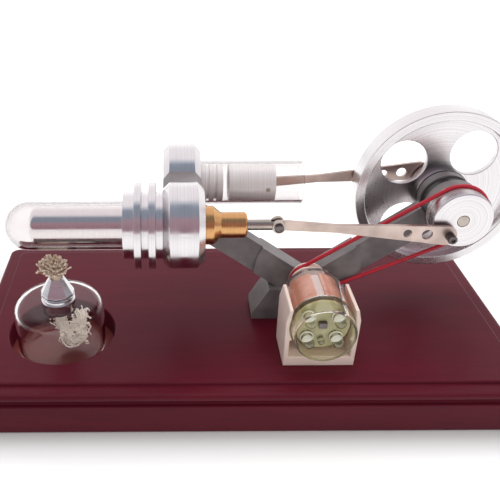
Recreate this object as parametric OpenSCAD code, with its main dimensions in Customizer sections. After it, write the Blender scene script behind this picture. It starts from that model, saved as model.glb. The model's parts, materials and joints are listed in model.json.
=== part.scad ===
// Desk model hot-air engine that drives a small LED generator.
// Two parallel horizontal cylinders on a V-shaped frame, on a wooden plinth.
// +X runs from the hot end to the flywheel, +Y runs to the rear, +Z is up.
// The origin is on the floor, under the middle of the plinth.

/* [Plinth] */
// Length of the plinth along X
base_length = 236; // [200:1:260]
// Depth of the plinth along Y
base_depth = 117; // [105:1:150]
// Height of the plinth
base_height = 21.3; // [14:0.1:26]
// Width of the step that runs round the top panel
step_width = 6.2; // [3:0.1:9]
// How far the top panel stands above the nosing
panel_rise = 1.5; // [0.8:0.1:3]
// Height of the lower block, up to the cove
block_height = 14.1; // [9:0.1:16]
// Height of the cove groove under the nosing
cove_height = 2.3; // [1:0.1:3]
// How deep the cove is cut in
cove_depth = 1.6; // [0.8:0.1:3]
// Corner radius of the lower block and the nosing
corner_radius = 4; // [2:0.5:8]
// Radius of the round pocket that holds the burner
pocket_radius = 23.5; // [21:0.1:25]
// Depth of the burner pocket
pocket_depth = 10; // [6:0.5:12]

/* [Engine layout] */
// Height of both cylinder axes above the panel
axis_rise = 52.9; // [46:0.1:58]
// Y of the displacer line, which is the front one
front_line_y = -16.5; // [-18:0.5:-15]
// Y of the power piston line, which is the rear one
rear_line_y = 25; // [24.6:0.1:32]
// X of the middle of the wrist pins' travel
wrist_mid_x = 17.35; // [14:0.05:20]
// X of the left face of the two cylinder lobes
lobe_left_x = -35.2; // [-38:0.1:-30]
// Length of each lobe along X
lobe_length = 16.75; // [12:0.05:20]
// Radius of the lobes and the fins
lobe_radius = 17.7; // [16:0.1:19]
// Chamfer on the lobe edges
lobe_chamfer = 2.75; // [1:0.05:4]

/* [Hot tube and displacer] */
// Outside radius of the glass hot tube
tube_radius = 10; // [8:0.1:11]
// Wall of the glass hot tube
tube_wall = 1.2; // [0.8:0.1:2]
// X of the closed end of the hot tube
tube_end_x = -100; // [-105:0.1:-90]
// Length of the tube that sits inside the cooler
tube_seat = 9.3; // [6:0.1:12]
// Radius of the displacer
displacer_radius = 7.5; // [6:0.1:8.5]
// Length of the displacer
displacer_length = 50.4; // [40:0.1:52]
// Gap between the displacer nose and the tube end at rest
displacer_nose_gap = 9.6; // [6:0.1:12]
// Radius of the displacer rod
rod_radius = 2.2; // [1.5:0.1:3]

/* [Cooler] */
// Radius of the collar and of the grooves between the fins
collar_radius = 13.7; // [12:0.1:15]
// Length of the collar at the hot end
collar_length = 4.6; // [3:0.1:6]
// Thickness of one cooling fin
fin_thickness = 2.9; // [1.5:0.1:4]
// Gap between the fins
fin_gap = 2.85; // [1.5:0.05:4]
// Number of cooling fins
fin_count = 2; // [1:1:3]
// Wall at the closed end of the displacer bore
end_wall = 3.5; // [2:0.1:5]

/* [Brass gland] */
// Radius of the gland flange
gland_flange_radius = 8; // [6:0.05:10]
// Length of the gland flange
gland_flange_length = 3.7; // [2:0.1:5]
// Length of the gland cone
gland_cone_length = 3.1; // [2:0.1:5]
// Radius of the gland barrel
gland_barrel_radius = 5.3; // [4:0.1:7]
// Length of the gland barrel
gland_barrel_length = 10.7; // [6:0.1:14]
// Chamfer at the end of the barrel
gland_chamfer = 0.8; // [0.3:0.1:1.5]

/* [Power cylinder] */
// Outside radius of the power cylinder's glass
power_tube_radius = 10; // [8:0.05:11]
// Wall of the power cylinder's glass
power_tube_wall = 1.5; // [1:0.1:2]
// Length of the power cylinder's glass outside the lobe
power_tube_length = 46.9; // [40:0.1:50]
// How deep the glass sits in the lobe
power_tube_seat = 3; // [2:0.1:6]
// Length of the piston
piston_length = 21; // [18:0.1:24]
// Distance from the piston crown to its wrist pin
piston_pin_offset = 17.4; // [14:0.1:19]
// Wall of the piston skirt
piston_wall = 1.7; // [1:0.1:2.5]
// Thickness of the piston crown
crown_thickness = 5; // [3:0.1:8]
// Number of grooves on the plug inside the glass
plug_groove_count = 2; // [1:1:3]
// Width of one plug groove
plug_groove_width = 1.3; // [0.8:0.1:2]
// Depth of one plug groove
plug_groove_depth = 0.9; // [0.4:0.1:1.5]

/* [Crank and rods] */
// Throw of both cranks
crank_throw = 7.75; // [5:0.05:8]
// Angle of the front crank pin at rest, from +X
front_crank_angle = 224.4; // [180:0.1:270]
// Angle by which the rear crank trails the front one
crank_phase = 90; // [80:1:100]
// Length of both connecting rods between centres
rod_length = 71.5; // [65:0.1:76]
// Thickness of the connecting rods
rod_thickness = 1.5; // [1:0.1:2]
// Half width of a rod at its wrist end
rod_wrist_half = 2.2; // [1.8:0.1:3]
// Half width of a rod at its waist
rod_waist_half = 1.75; // [1.4:0.05:2.5]
// Half width of a rod at its big end
rod_big_half = 4.4; // [3.5:0.1:5]
// Distance of the waist from the wrist pin
rod_waist_at = 24; // [18:1:30]
// Distance of the small lightening hole from the wrist pin
small_hole_at = 53.8; // [45:0.1:56]
// Radius of the small lightening hole
small_hole_radius = 1.8; // [1:0.05:2]
// Distance of the large lightening hole from the wrist pin
large_hole_at = 62; // [58:0.1:64]
// Radius of the large lightening hole
large_hole_radius = 2.25; // [1.5:0.05:2.6]
// Radius of the wrist pins
wrist_pin_radius = 1; // [0.8:0.1:1.2]
// Radius of the crank pins
crank_pin_radius = 1.6; // [1.2:0.1:2]
// Radius of the screw head at each big end
screw_head_radius = 1.9; // [1.6:0.1:2.4]
// Length of the screw head at each big end
screw_head_length = 4; // [3:0.1:8]
// Radius of the crankshaft
shaft_radius = 2.5; // [2:0.1:3]

/* [Crank pulley] */
// Y of the front face of the crank pulley
pulley_front_y = -14.5; // [-14.8:0.1:-14]
// Length of the crank pulley
pulley_length = 9.5; // [8.8:0.1:9.6]
// Radius of the crank pulley
pulley_radius = 12.4; // [11:0.1:14]
// Distance of the belt groove from the front face
groove_at = 7.25; // [5:0.05:7.4]
// Width of the belt grooves
groove_width = 2.6; // [2.2:0.1:3]
// Radius at the bottom of the large belt groove
groove_root_radius = 11.5; // [9:0.1:12]

/* [Flywheel] */
// Outside radius of the flywheel
wheel_radius = 37.65; // [30:0.05:42]
// Width of the flywheel rim along Y
wheel_width = 9.85; // [8:0.05:10.5]
// Y of the front face of the flywheel
wheel_front_y = 12.75; // [12:0.05:13]
// Thickness of the rim in the wheel's plane
rim_thickness = 4.1; // [2:0.1:6]
// Thickness of the web
web_thickness = 3; // [2.4:0.1:3.4]
// Setback of the web behind the rim's front face
web_setback = 4.2; // [3:0.1:4.6]
// Number of round holes in the web
web_hole_count = 4; // [4:1:6]
// Radius of the round holes
web_hole_radius = 10.2; // [6:0.1:11]
// Distance of the round holes from the shaft
web_hole_circle = 21.5; // [20:0.1:25]
// Angle of the first hole at rest, from +X
web_hole_angle = 143; // [0:1:360]
// Radius of the hub
wheel_hub_radius = 9; // [6:0.1:11]
// How far the hub stands behind the web
wheel_hub_rise = 1; // [0.5:0.1:1.4]
// Thickness of the rear crank disc
rear_disc_thickness = 2.4; // [1.8:0.1:2.6]
// Radius of the rear crank disc
rear_disc_radius = 10.4; // [9.8:0.1:14]

/* [Frame] */
// X of the middle of the frame's round centre
frame_x = 28.6; // [24:0.1:32]
// Y of the middle plane of the frame
frame_y = -1.2; // [-1.2:0.1:-0.8]
// How far below the cylinder axes the left arm meets the bridge
left_arm_drop = 6.3; // [0:0.1:9]
// How far above the crankshaft the right arm's middle line passes
right_arm_lift = 4; // [2:0.1:7]
// Width of the arms
arm_width = 12.4; // [10:0.1:15]
// Thickness of the arms along Y
arm_thickness = 6.8; // [5:0.1:7]
// Height above the panel at which the arms' middle lines meet
arm_meet_rise = 13.7; // [7:0.1:16]
// Radius of the frame's round centre
centre_radius = 23.7; // [18:0.1:26]
// Height of the round centre above the panel
centre_rise = 23.5; // [15:0.1:26]
// Thickness of the round centre along Y
centre_thickness = 9.5; // [8:0.1:9.6]
// Length of the foot along X
foot_length = 47.4; // [38:0.1:52]
// Depth of the foot along Y
foot_depth = 15.6; // [14:0.1:16.4]
// Height of the foot's upright edge
foot_edge = 3.1; // [2:0.1:5]
// Height of the foot
foot_height = 15.7; // [10:0.1:17]
// Length of the foot's slope along X
foot_slope = 7.1; // [4:0.1:10]
// Radius of the bearing housing
housing_radius = 12; // [11:0.1:14]
// Y of the front face of the bearing housing
housing_front_y = -4.5; // [-4.6:0.1:-4]
// Length of the housing's front boss
boss_length = 5; // [4:0.1:6]
// Radius of the dark sleeve behind the boss
sleeve_radius = 10.6; // [10:0.1:11.4]
// Wall of the dark sleeve
sleeve_wall = 1.6; // [1:0.1:2]
// Length of the dark sleeve
sleeve_length = 6; // [4:0.1:7]
// Radius of the housing's rear flange
rear_flange_radius = 11.3; // [10.6:0.1:12]
// Length of the housing's rear flange
rear_flange_length = 4.4; // [2:0.1:4.6]
// Thickness of the dark rear ring
seal_thickness = 0.7; // [0.4:0.1:0.8]
// Half height of the bridge between the two lobes
bridge_half = 11.5; // [9:0.1:13]

/* [Belt and generator] */
// Radius of the round belt
belt_radius = 0.9; // [0.6:0.05:1.2]
// X of the generator axis
generator_x = 28.9; // [27:0.1:33]
// Radius of the generator case
case_radius = 13.1; // [12:0.1:14]
// Wall of the generator case
case_wall = 1.2; // [0.8:0.1:1.6]
// Length of the generator case
case_length = 21; // [18:0.1:26]
// Y of the rear face of the generator case
case_rear_y = -17; // [-18:0.1:-16]
// Length of the clear LED cap
cap_length = 10; // [6:0.1:11]
// How far the LED cap tapers to its front
cap_taper = 0.4; // [0:0.1:1.5]
// Radius at the bottom of the small belt groove
small_root_radius = 6.45; // [4:0.05:8]
// Height of the small pulley's flanges above its groove
small_flange = 1.8; // [1.2:0.1:2]
// Width of the small pulley along Y
small_pulley_width = 4.2; // [3.4:0.1:4.4]
// Radius of the generator shaft
generator_shaft_radius = 1; // [0.8:0.1:1.2]
// Radius of one LED
led_radius = 2.8; // [2:0.1:3]
// Half spacing of the LEDs along X
led_half_x = 5.9; // [4:0.1:6.5]
// Half spacing of the LEDs along Z
led_half_z = 5; // [3:0.1:5]

/* [Generator cradle] */
// Length of the cradle along Y
cradle_length = 19.5; // [18:0.1:26]
// Y of the front face of the cradle
cradle_front_y = -42.2; // [-44:0.1:-40]
// How far the cradle's sides stand out beyond the generator case
cradle_side = 1.9; // [1.7:0.1:4]
// How far the cradle narrows from its sides to the panel
cradle_taper = 0.3; // [0:0.1:3]
// Thickness of the cradle's side walls
cradle_wall = 2.2; // [1.4:0.1:3]
// Thickness of the cradle's floor
cradle_floor = 4.7; // [2:0.1:5]
// Gap between the panel and the lowest line of the generator case
cradle_lift = 6.4; // [2:0.1:8]
// Height of the horns above the generator axis
horn_rise = 8.4; // [6:0.1:10]
// How far the horns lean in at their tips
horn_lean = 1.2; // [0.6:0.1:2]
// Width of the horn tips
horn_tip = 1.6; // [1.2:0.1:2.4]

/* [Spirit burner] */
// Distance of the burner's axis from the closed end of the hot tube
burner_offset = 19.3; // [14:0.1:28]
// How far the burner stands off the middle of its pocket, along X
burner_shift = -0.5; // [-1:0.1:1]
// Radius of the glass bottle
bottle_radius = 19.6; // [17:0.1:20.5]
// Height of the glass bottle
bottle_height = 26.4; // [18:0.1:28]
// Edge rounding of the bottle
bottle_edge = 5; // [2:0.1:8]
// Thickness of the bottle glass
bottle_wall = 2.5; // [1.5:0.1:4]
// Radius of the bottle's mouth
mouth_radius = 6.2; // [5:0.1:8]
// Radius of the wick holder's band
holder_radius = 7; // [5:0.1:8]
// Radius of the wick holder's top
holder_top_radius = 3.7; // [3.2:0.1:5]
// Height of the wick holder above the bottle
holder_height = 13.2; // [8:0.1:15]
// Radius of the wick
wick_radius = 2.4; // [1.5:0.1:3]
// Radius of the frayed wick end
tuft_radius = 8; // [4:0.1:9]
// Gap between the wick end and the hot tube
tuft_gap = 3.8; // [1:0.1:6]

/* [Fits] */
// Running clearance of a shaft in its hole
running_gap = 0.05; // [0.02:0.01:0.1]
// Gap between fixed pieces that slip into each other
slip_gap = 0.05; // [0.02:0.01:0.2]
// Gap between the piston and its glass
piston_gap = 0.08; // [0.05:0.01:0.1]
// Gap between pieces that stand next to each other
near_gap = 0.3; // [0.2:0.05:0.5]
// Side gap of a rod inside its fork
fork_gap = 0.2; // [0.1:0.05:0.4]

/* [Hidden] */
$fn = 72;
cut = 1;
panel_z = base_height;
axis_z = panel_z + axis_rise;
nosing_top = base_height - panel_rise;
nosing_height = nosing_top - block_height - cove_height;
pocket_x = tube_end_x + burner_offset;
pocket_floor = base_height - pocket_depth;
burner_x = pocket_x + burner_shift;
shaft_x = wrist_mid_x + rod_length;
lobe_right_x = lobe_left_x + lobe_length;
bore_radius = tube_radius - tube_wall;
cooler_left_x = lobe_left_x - collar_length - fin_count * (fin_thickness + fin_gap);
tube_right_x = cooler_left_x + tube_seat;
bore_right_x = lobe_right_x - end_wall;
rear_crank_angle = front_crank_angle - crank_phase;
front_pin_x = shaft_x + crank_throw * cos(front_crank_angle);
front_pin_rise = crank_throw * sin(front_crank_angle);
rear_pin_x = shaft_x + crank_throw * cos(rear_crank_angle);
rear_pin_rise = crank_throw * sin(rear_crank_angle);
front_rod_tilt = asin(front_pin_rise / rod_length);
rear_rod_tilt = asin(rear_pin_rise / rod_length);
front_wrist_x = front_pin_x - rod_length * cos(front_rod_tilt);
rear_wrist_x = rear_pin_x - rod_length * cos(rear_rod_tilt);
inner_dead_x = shaft_x - crank_throw - rod_length;
displacer_left_x = tube_end_x + tube_wall + displacer_nose_gap;
displacer_right_x = displacer_left_x + displacer_length;
piston_left_x = rear_wrist_x - piston_pin_offset;
piston_radius = power_tube_radius - power_tube_wall - piston_gap;
plug_right_x = piston_left_x - (rear_wrist_x - inner_dead_x) - near_gap;
plug_radius = power_tube_radius - power_tube_wall - slip_gap;
plug_bore_radius = plug_radius - 3;
knuckle_radius = 2.7;
knuckle_half = 2.8;
fork_half = rod_thickness / 2 + fork_gap;
fork_depth = rod_wrist_half + 0.9;
pin_head_radius = 1.9;
pin_head_length = 1.2;
crank_pin_stop = rod_thickness / 2 + near_gap;
wheel_rear_y = wheel_front_y + wheel_width;
web_front_y = wheel_front_y + web_setback;
web_rear_y = web_front_y + web_thickness;
hub_rear_y = web_rear_y + wheel_hub_rise;
rear_disc_rear_y = hub_rear_y + rear_disc_thickness;
pulley_rear_y = pulley_front_y + pulley_length;
belt_y = pulley_front_y + groove_at;
belt_gap = 0.2;
big_belt_radius = groove_root_radius + belt_gap + belt_radius;
small_belt_radius = small_root_radius + belt_gap + belt_radius;
generator_rise = case_radius + cradle_lift;
generator_z = panel_z + generator_rise;
cradle_half = case_radius + cradle_side;
cradle_foot_half = cradle_half - cradle_taper;
horn_half = cradle_half - horn_lean;
belt_dx = shaft_x - generator_x;
belt_dz = axis_z - generator_z;
belt_span = norm([belt_dx, belt_dz]);
belt_slope = atan2(belt_dz, belt_dx);
belt_spread = asin((big_belt_radius - small_belt_radius) / belt_span);
belt_strand = belt_span * cos(belt_spread);
strand_lap = 0.4;
strand_step = 0.02;
arm_meet_x = frame_x + 0.4;
arm_meet_z = panel_z + arm_meet_rise;
left_arm_angle = atan2(axis_z - left_arm_drop - arm_meet_z, arm_meet_x - lobe_right_x);
right_arm_angle = atan2(axis_z + right_arm_lift - arm_meet_z, shaft_x - arm_meet_x);
boss_rear_y = housing_front_y + boss_length;
sleeve_rear_y = boss_rear_y + sleeve_length;
frame_rear_y = sleeve_rear_y + rear_flange_length;
sleeve_bore = sleeve_radius - sleeve_wall;
foot_front_y = frame_y - foot_depth / 2;
belt_clear_y = belt_y + belt_radius + near_gap;
small_pulley_rear_y = belt_y + small_pulley_width / 2;
case_front_y = case_rear_y - case_length;
cap_front_y = case_front_y - cap_length;
cap_front_radius = case_radius - cap_taper;
cap_wall = 1.2;
board_radius = cap_front_radius - cap_wall - near_gap;
board_thickness = 1.2;
board_rear_y = case_front_y - cap_wall;
board_front_y = board_rear_y - board_thickness;
bottle_top = pocket_floor + bottle_height;
holder_band = 2.6;
holder_step = 0.8;
tuft_top = axis_z - tube_radius - tuft_gap;
pulley_chamfer = 0.4;

// ---- helpers ----

// A cylinder along X from x0 to x1
module bar_x(x0, x1, r) {
  translate([x0, 0, 0]) rotate([0, 90, 0]) cylinder(h = x1 - x0, r = r);
}

// A cone along X from radius r0 at x0 to r1 at x1
module cone_x(x0, x1, r0, r1) {
  translate([x0, 0, 0]) rotate([0, 90, 0]) cylinder(h = x1 - x0, r1 = r0, r2 = r1);
}

// A cylinder along Y from y0 to y1
module bar_y(y0, y1, r) {
  translate([0, y1, 0]) rotate([90, 0, 0]) cylinder(h = y1 - y0, r = r);
}

// A flat shape drawn in X and Z, made solid from y0 to y1
module plate_y(y0, y1) {
  translate([0, y1, 0]) rotate([90, 0, 0]) linear_extrude(y1 - y0) children();
}

// A rectangle about the origin with rounded corners
module rounded_outline(length, depth, r) {
  square([length - 2 * r, depth], center = true);
  square([length, depth - 2 * r], center = true);
  for (sx = [-1, 1], sy = [-1, 1])
    translate([sx * (length / 2 - r), sy * (depth / 2 - r)]) circle(r);
}

// ---- plinth ----

// A rounded board from z0 to z1, set in from the plinth's outline
module board(z0, z1, inset, r) {
  translate([0, 0, z0]) linear_extrude(z1 - z0)
    rounded_outline(base_length - 2 * inset, base_depth - 2 * inset, r);
}

module wood_base() {
  color([0.36, 0.13, 0.17])
    difference() {
      union() {
        board(0, block_height, 0, corner_radius);
        board(block_height, block_height + cove_height, cove_depth, corner_radius - cove_depth);
        board(block_height + cove_height, nosing_top, 0, corner_radius);
        board(nosing_top, base_height, step_width, corner_radius / 2);
      }
      translate([pocket_x, front_line_y, pocket_floor]) cylinder(h = pocket_depth + cut, r = pocket_radius);
    }
}

// ---- spirit burner ----

// Half outline of a flat round bottle with rounded edges
module bottle_half(r, h, edge) {
  square([r - edge, h]);
  translate([0, edge]) square([r, h - 2 * edge]);
  translate([r - edge, edge]) circle(edge);
  translate([r - edge, h - edge]) circle(edge);
}

module burner_bottle() {
  inner_radius = bottle_radius - bottle_wall;
  inner_height = bottle_height - 2 * bottle_wall;
  color([0.85, 0.9, 0.92, 0.35])
    translate([burner_x, front_line_y, pocket_floor])
      difference() {
        rotate_extrude() bottle_half(bottle_radius, bottle_height, bottle_edge);
        translate([0, 0, bottle_wall])
          rotate_extrude() bottle_half(inner_radius, inner_height, bottle_edge - bottle_wall);
        translate([0, 0, bottle_height / 2]) cylinder(h = bottle_height, r = mouth_radius + slip_gap);
      }
}

module wick_holder() {
  sleeve_depth = bottle_wall + 3.5;
  color([0.75, 0.75, 0.76])
    translate([burner_x, front_line_y, bottle_top])
      difference() {
        union() {
          translate([0, 0, -sleeve_depth]) cylinder(h = sleeve_depth, r = mouth_radius);
          cylinder(h = holder_step, r = holder_radius + 0.4);
          translate([0, 0, holder_step]) cylinder(h = holder_band, r = holder_radius);
          translate([0, 0, holder_step + holder_band])
            cylinder(h = holder_height - holder_step - holder_band, r1 = holder_radius, r2 = holder_top_radius);
        }
        translate([0, 0, -sleeve_depth - cut])
          cylinder(h = sleeve_depth + holder_height + 2 * cut, r = wick_radius + near_gap);
      }
}

module burner_wick() {
  stem_bottom = bottle_top - bottle_height / 2;
  flare_bottom = bottle_top + holder_height + near_gap;
  flare_top = (flare_bottom + tuft_top) / 2;
  color([0.78, 0.7, 0.58])
    translate([burner_x, front_line_y, 0]) {
      translate([0, 0, stem_bottom]) cylinder(h = flare_top - stem_bottom, r = wick_radius);
      translate([0, 0, flare_bottom]) cylinder(h = flare_top - flare_bottom, r1 = wick_radius, r2 = tuft_radius);
      translate([0, 0, flare_top]) cylinder(h = tuft_top - flare_top, r1 = tuft_radius, r2 = tuft_radius - 2);
    }
}

module burner_cotton() {
  ball = 6;
  ball_x = burner_x + ball + wick_radius + near_gap;
  ball_z = pocket_floor + bottle_wall + ball + slip_gap;
  color([0.9, 0.86, 0.76])
    translate([ball_x, front_line_y, ball_z]) {
      sphere(ball);
      translate([1, -3.4, -1.2]) sphere(ball - 1.2);
      translate([0.4, 4, 5]) sphere(ball - 1.6);
    }
}

// ---- hot side ----

module hot_tube() {
  dome_x = tube_end_x + tube_radius;
  color([0.85, 0.92, 0.95, 0.35])
    translate([0, front_line_y, axis_z])
      difference() {
        union() {
          bar_x(dome_x, tube_right_x, tube_radius);
          translate([dome_x, 0, 0]) sphere(tube_radius);
        }
        bar_x(dome_x, tube_right_x + cut, bore_radius);
        translate([dome_x, 0, 0]) sphere(bore_radius);
      }
}

// A lobe with chamfered edges, centred on the axis
module lobe() {
  inner = lobe_radius - lobe_chamfer;
  cone_x(lobe_left_x, lobe_left_x + lobe_chamfer, inner, lobe_radius);
  bar_x(lobe_left_x + lobe_chamfer, lobe_right_x - lobe_chamfer, lobe_radius);
  cone_x(lobe_right_x - lobe_chamfer, lobe_right_x, lobe_radius, inner);
}

module cooler() {
  color([0.82, 0.82, 0.84])
    translate([0, front_line_y, axis_z])
      difference() {
        union() {
          bar_x(cooler_left_x, lobe_left_x + lobe_chamfer, collar_radius);
          for (i = [0 : fin_count - 1]) {
            fin_x = cooler_left_x + collar_length + i * (fin_thickness + fin_gap);
            bar_x(fin_x, fin_x + fin_thickness, lobe_radius);
          }
          lobe();
        }
        bar_x(cooler_left_x - cut, tube_right_x, tube_radius + slip_gap);
        bar_x(tube_right_x - cut, bore_right_x, bore_radius);
        bar_x(bore_right_x - cut, lobe_right_x + cut, rod_radius + near_gap);
      }
}

module brass_gland() {
  cone_from = lobe_right_x + gland_flange_length;
  barrel_from = cone_from + gland_cone_length;
  barrel_to = barrel_from + gland_barrel_length;
  color([0.8, 0.58, 0.32])
    translate([0, front_line_y, axis_z])
      difference() {
        union() {
          bar_x(lobe_right_x, cone_from, gland_flange_radius);
          cone_x(cone_from, barrel_from, gland_flange_radius, gland_barrel_radius);
          bar_x(barrel_from, barrel_to - gland_chamfer, gland_barrel_radius);
          cone_x(barrel_to - gland_chamfer, barrel_to, gland_barrel_radius, gland_barrel_radius - gland_chamfer);
        }
        bar_x(lobe_right_x - cut, barrel_to + cut, rod_radius + running_gap);
      }
}

// ---- frame ----

// One straight arm of the V, drawn in X and Z from the point where the arms meet
module arm_outline(angle, length) {
  translate([arm_meet_x, arm_meet_z])
    rotate(angle)
      translate([-arm_width / 4, -arm_width / 2]) square([length + arm_width / 4, arm_width]);
}

module left_arm_outline() {
  reach = 70;
  intersection() {
    arm_outline(180 - left_arm_angle, reach);
    translate([lobe_right_x, panel_z]) square([reach, axis_rise + lobe_radius]);
  }
}

module right_arm_outline() {
  full = norm([shaft_x - arm_meet_x, axis_z + right_arm_lift - arm_meet_z]);
  reach = full - right_arm_lift * sin(right_arm_angle) - sleeve_radius - near_gap;
  arm_outline(right_arm_angle, reach);
}

module foot_outline() {
  half = foot_length / 2;
  translate([frame_x, panel_z])
    polygon([
      [-half, 0], [-half, foot_edge], [-half + foot_slope, foot_height],
      [half - foot_slope, foot_height], [half, foot_edge], [half, 0]
    ]);
}

// The waisted block between the two lobes
module bridge() {
  top_chamfer = lobe_chamfer;
  difference() {
    translate([0, rear_line_y, axis_z]) rotate([90, 0, 0]) linear_extrude(rear_line_y - front_line_y)
      polygon([
        [lobe_left_x, -bridge_half + top_chamfer], [lobe_left_x, bridge_half - top_chamfer],
        [lobe_left_x + top_chamfer, bridge_half], [lobe_right_x - top_chamfer, bridge_half],
        [lobe_right_x, bridge_half - top_chamfer], [lobe_right_x, -bridge_half + top_chamfer],
        [lobe_right_x - top_chamfer, -bridge_half], [lobe_left_x + top_chamfer, -bridge_half]
      ]);
    for (line_y = [front_line_y, rear_line_y])
      translate([0, line_y, axis_z])
        bar_x(lobe_left_x - cut, lobe_right_x + cut, lobe_radius + slip_gap);
  }
}

// The bearing housing, waisted under the dark sleeve
module housing() {
  translate([shaft_x, 0, axis_z]) {
    bar_y(housing_front_y, boss_rear_y, housing_radius);
    bar_y(boss_rear_y - cut, sleeve_rear_y + cut, sleeve_bore - slip_gap);
    bar_y(sleeve_rear_y, frame_rear_y, rear_flange_radius);
  }
}

// Room for the small pulley and the lower strand of the belt, behind the generator
module belt_relief() {
  side = small_root_radius + small_flange + near_gap;
  run = 13.5;
  translate([generator_x, 0, generator_z])
    bar_y(foot_front_y - cut, small_pulley_rear_y + near_gap, side);
  translate([generator_x - side, foot_front_y - cut, generator_z - side])
    cube([side + run, belt_clear_y - foot_front_y + cut, foot_height]);
}

module frame() {
  color([0.27, 0.25, 0.26])
    difference() {
      union() {
        plate_y(frame_y - arm_thickness / 2, frame_y + arm_thickness / 2) {
          left_arm_outline();
          right_arm_outline();
        }
        plate_y(frame_y - centre_thickness / 2, frame_y + centre_thickness / 2)
          intersection() {
            translate([frame_x, panel_z + centre_rise]) circle(centre_radius);
            union() {
              left_arm_outline();
              right_arm_outline();
            }
          }
        plate_y(foot_front_y, foot_front_y + foot_depth) foot_outline();
        housing();
        bridge();
      }
      translate([shaft_x, 0, axis_z])
        bar_y(housing_front_y - cut, frame_rear_y + cut, shaft_radius + running_gap);
      belt_relief();
    }
}

// A dark ring round the bearing housing's axis
module bearing_ring(y0, y1, r, bore) {
  color([0.06, 0.06, 0.06])
    translate([shaft_x, 0, axis_z])
      difference() {
        bar_y(y0, y1, r);
        bar_y(y0 - cut, y1 + cut, bore);
      }
}

module front_bearing_ring() {
  bearing_ring(boss_rear_y, sleeve_rear_y, sleeve_radius, sleeve_bore);
}

module rear_bearing_ring() {
  bearing_ring(frame_rear_y, frame_rear_y + seal_thickness, rear_flange_radius + 0.2, rear_flange_radius - 4);
}

// ---- power side ----

module power_cylinder_head() {
  groove_pitch = (plug_right_x - lobe_right_x) / (plug_groove_count + 1);
  color([0.82, 0.82, 0.84])
    translate([0, rear_line_y, axis_z])
      difference() {
        union() {
          difference() {
            lobe();
            bar_x(lobe_right_x - power_tube_seat, lobe_right_x + cut, power_tube_radius + slip_gap);
          }
          difference() {
            bar_x(lobe_right_x - power_tube_seat - cut, plug_right_x, plug_radius);
            for (i = [1 : plug_groove_count])
              translate([lobe_right_x + i * groove_pitch, 0, 0])
                difference() {
                  bar_x(-plug_groove_width / 2, plug_groove_width / 2, plug_radius + cut);
                  bar_x(-plug_groove_width, plug_groove_width, plug_radius - plug_groove_depth);
                }
          }
        }
        bar_x(lobe_left_x + end_wall, plug_right_x + cut, plug_bore_radius);
      }
}

module power_cylinder_glass() {
  color([0.88, 0.93, 0.95, 0.35])
    translate([0, rear_line_y, axis_z])
      difference() {
        bar_x(lobe_right_x - power_tube_seat, lobe_right_x + power_tube_length, power_tube_radius);
        bar_x(lobe_right_x - power_tube_seat - cut, lobe_right_x + power_tube_length + cut,
          power_tube_radius - power_tube_wall);
      }
}

module power_piston() {
  color([0.72, 0.71, 0.71])
    translate([0, rear_line_y, axis_z])
      difference() {
        bar_x(piston_left_x, piston_left_x + piston_length, piston_radius);
        bar_x(piston_left_x + crown_thickness, piston_left_x + piston_length + cut, piston_radius - piston_wall);
        translate([rear_wrist_x, 0, 0])
          bar_y(-piston_radius - cut, piston_radius + cut, wrist_pin_radius + slip_gap);
      }
}

module power_wrist_pin() {
  color([0.6, 0.59, 0.58])
    translate([rear_wrist_x, rear_line_y, axis_z])
      bar_y(-piston_radius + near_gap, piston_radius - near_gap, wrist_pin_radius);
}

// ---- displacer line ----

module displacer() {
  nose = displacer_radius;
  color([0.8, 0.8, 0.8])
    translate([0, front_line_y, axis_z])
      difference() {
        union() {
          intersection() {
            translate([displacer_left_x + nose, 0, 0]) sphere(nose);
            bar_x(displacer_left_x - cut, displacer_left_x + nose, nose);
          }
          bar_x(displacer_left_x + nose, displacer_right_x, displacer_radius);
        }
        bar_x(displacer_right_x - end_wall, displacer_right_x + cut, rod_radius + slip_gap);
      }
}

module displacer_rod() {
  color([0.62, 0.6, 0.58])
    translate([0, front_line_y, axis_z])
      difference() {
        union() {
          bar_x(displacer_right_x - end_wall, front_wrist_x, rod_radius);
          translate([front_wrist_x, 0, 0]) bar_y(-knuckle_half, knuckle_half, knuckle_radius);
        }
        translate([front_wrist_x - fork_depth, -fork_half, -knuckle_radius - cut])
          cube([fork_depth + knuckle_radius + cut, 2 * fork_half, 2 * (knuckle_radius + cut)]);
        translate([front_wrist_x, 0, 0])
          bar_y(-knuckle_half - cut, knuckle_half + cut, wrist_pin_radius + slip_gap);
      }
}

module displacer_wrist_pin() {
  color([0.3, 0.29, 0.29])
    translate([front_wrist_x, front_line_y, axis_z]) {
      bar_y(-knuckle_half, knuckle_half, wrist_pin_radius);
      bar_y(-knuckle_half - pin_head_length, -knuckle_half, pin_head_radius);
      bar_y(knuckle_half, knuckle_half + pin_head_length, pin_head_radius);
    }
}

// ---- connecting rods ----

// A flat tapering rod in X and Z, wrist pin at the origin
module rod_outline() {
  big_at = rod_length - 1.5;
  difference() {
    union() {
      circle(rod_wrist_half);
      translate([big_at, 0]) circle(rod_big_half);
      polygon([
        [0, -rod_wrist_half], [rod_waist_at, -rod_waist_half], [big_at, -rod_big_half],
        [big_at, rod_big_half], [rod_waist_at, rod_waist_half], [0, rod_wrist_half]
      ]);
    }
    circle(wrist_pin_radius + running_gap);
    translate([small_hole_at, 0]) circle(small_hole_radius);
    translate([large_hole_at, 0]) circle(large_hole_radius);
    translate([rod_length, 0]) circle(crank_pin_radius + slip_gap);
  }
}

// A rod placed on its cylinder line and turned to its crank pin
module connecting_rod(wrist_x, line_y, tilt) {
  color([0.78, 0.72, 0.66])
    translate([wrist_x, line_y, axis_z])
      rotate([0, -tilt, 0])
        plate_y(-rod_thickness / 2, rod_thickness / 2) rod_outline();
}

module front_connecting_rod() {
  connecting_rod(front_wrist_x, front_line_y, front_rod_tilt);
}

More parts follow.
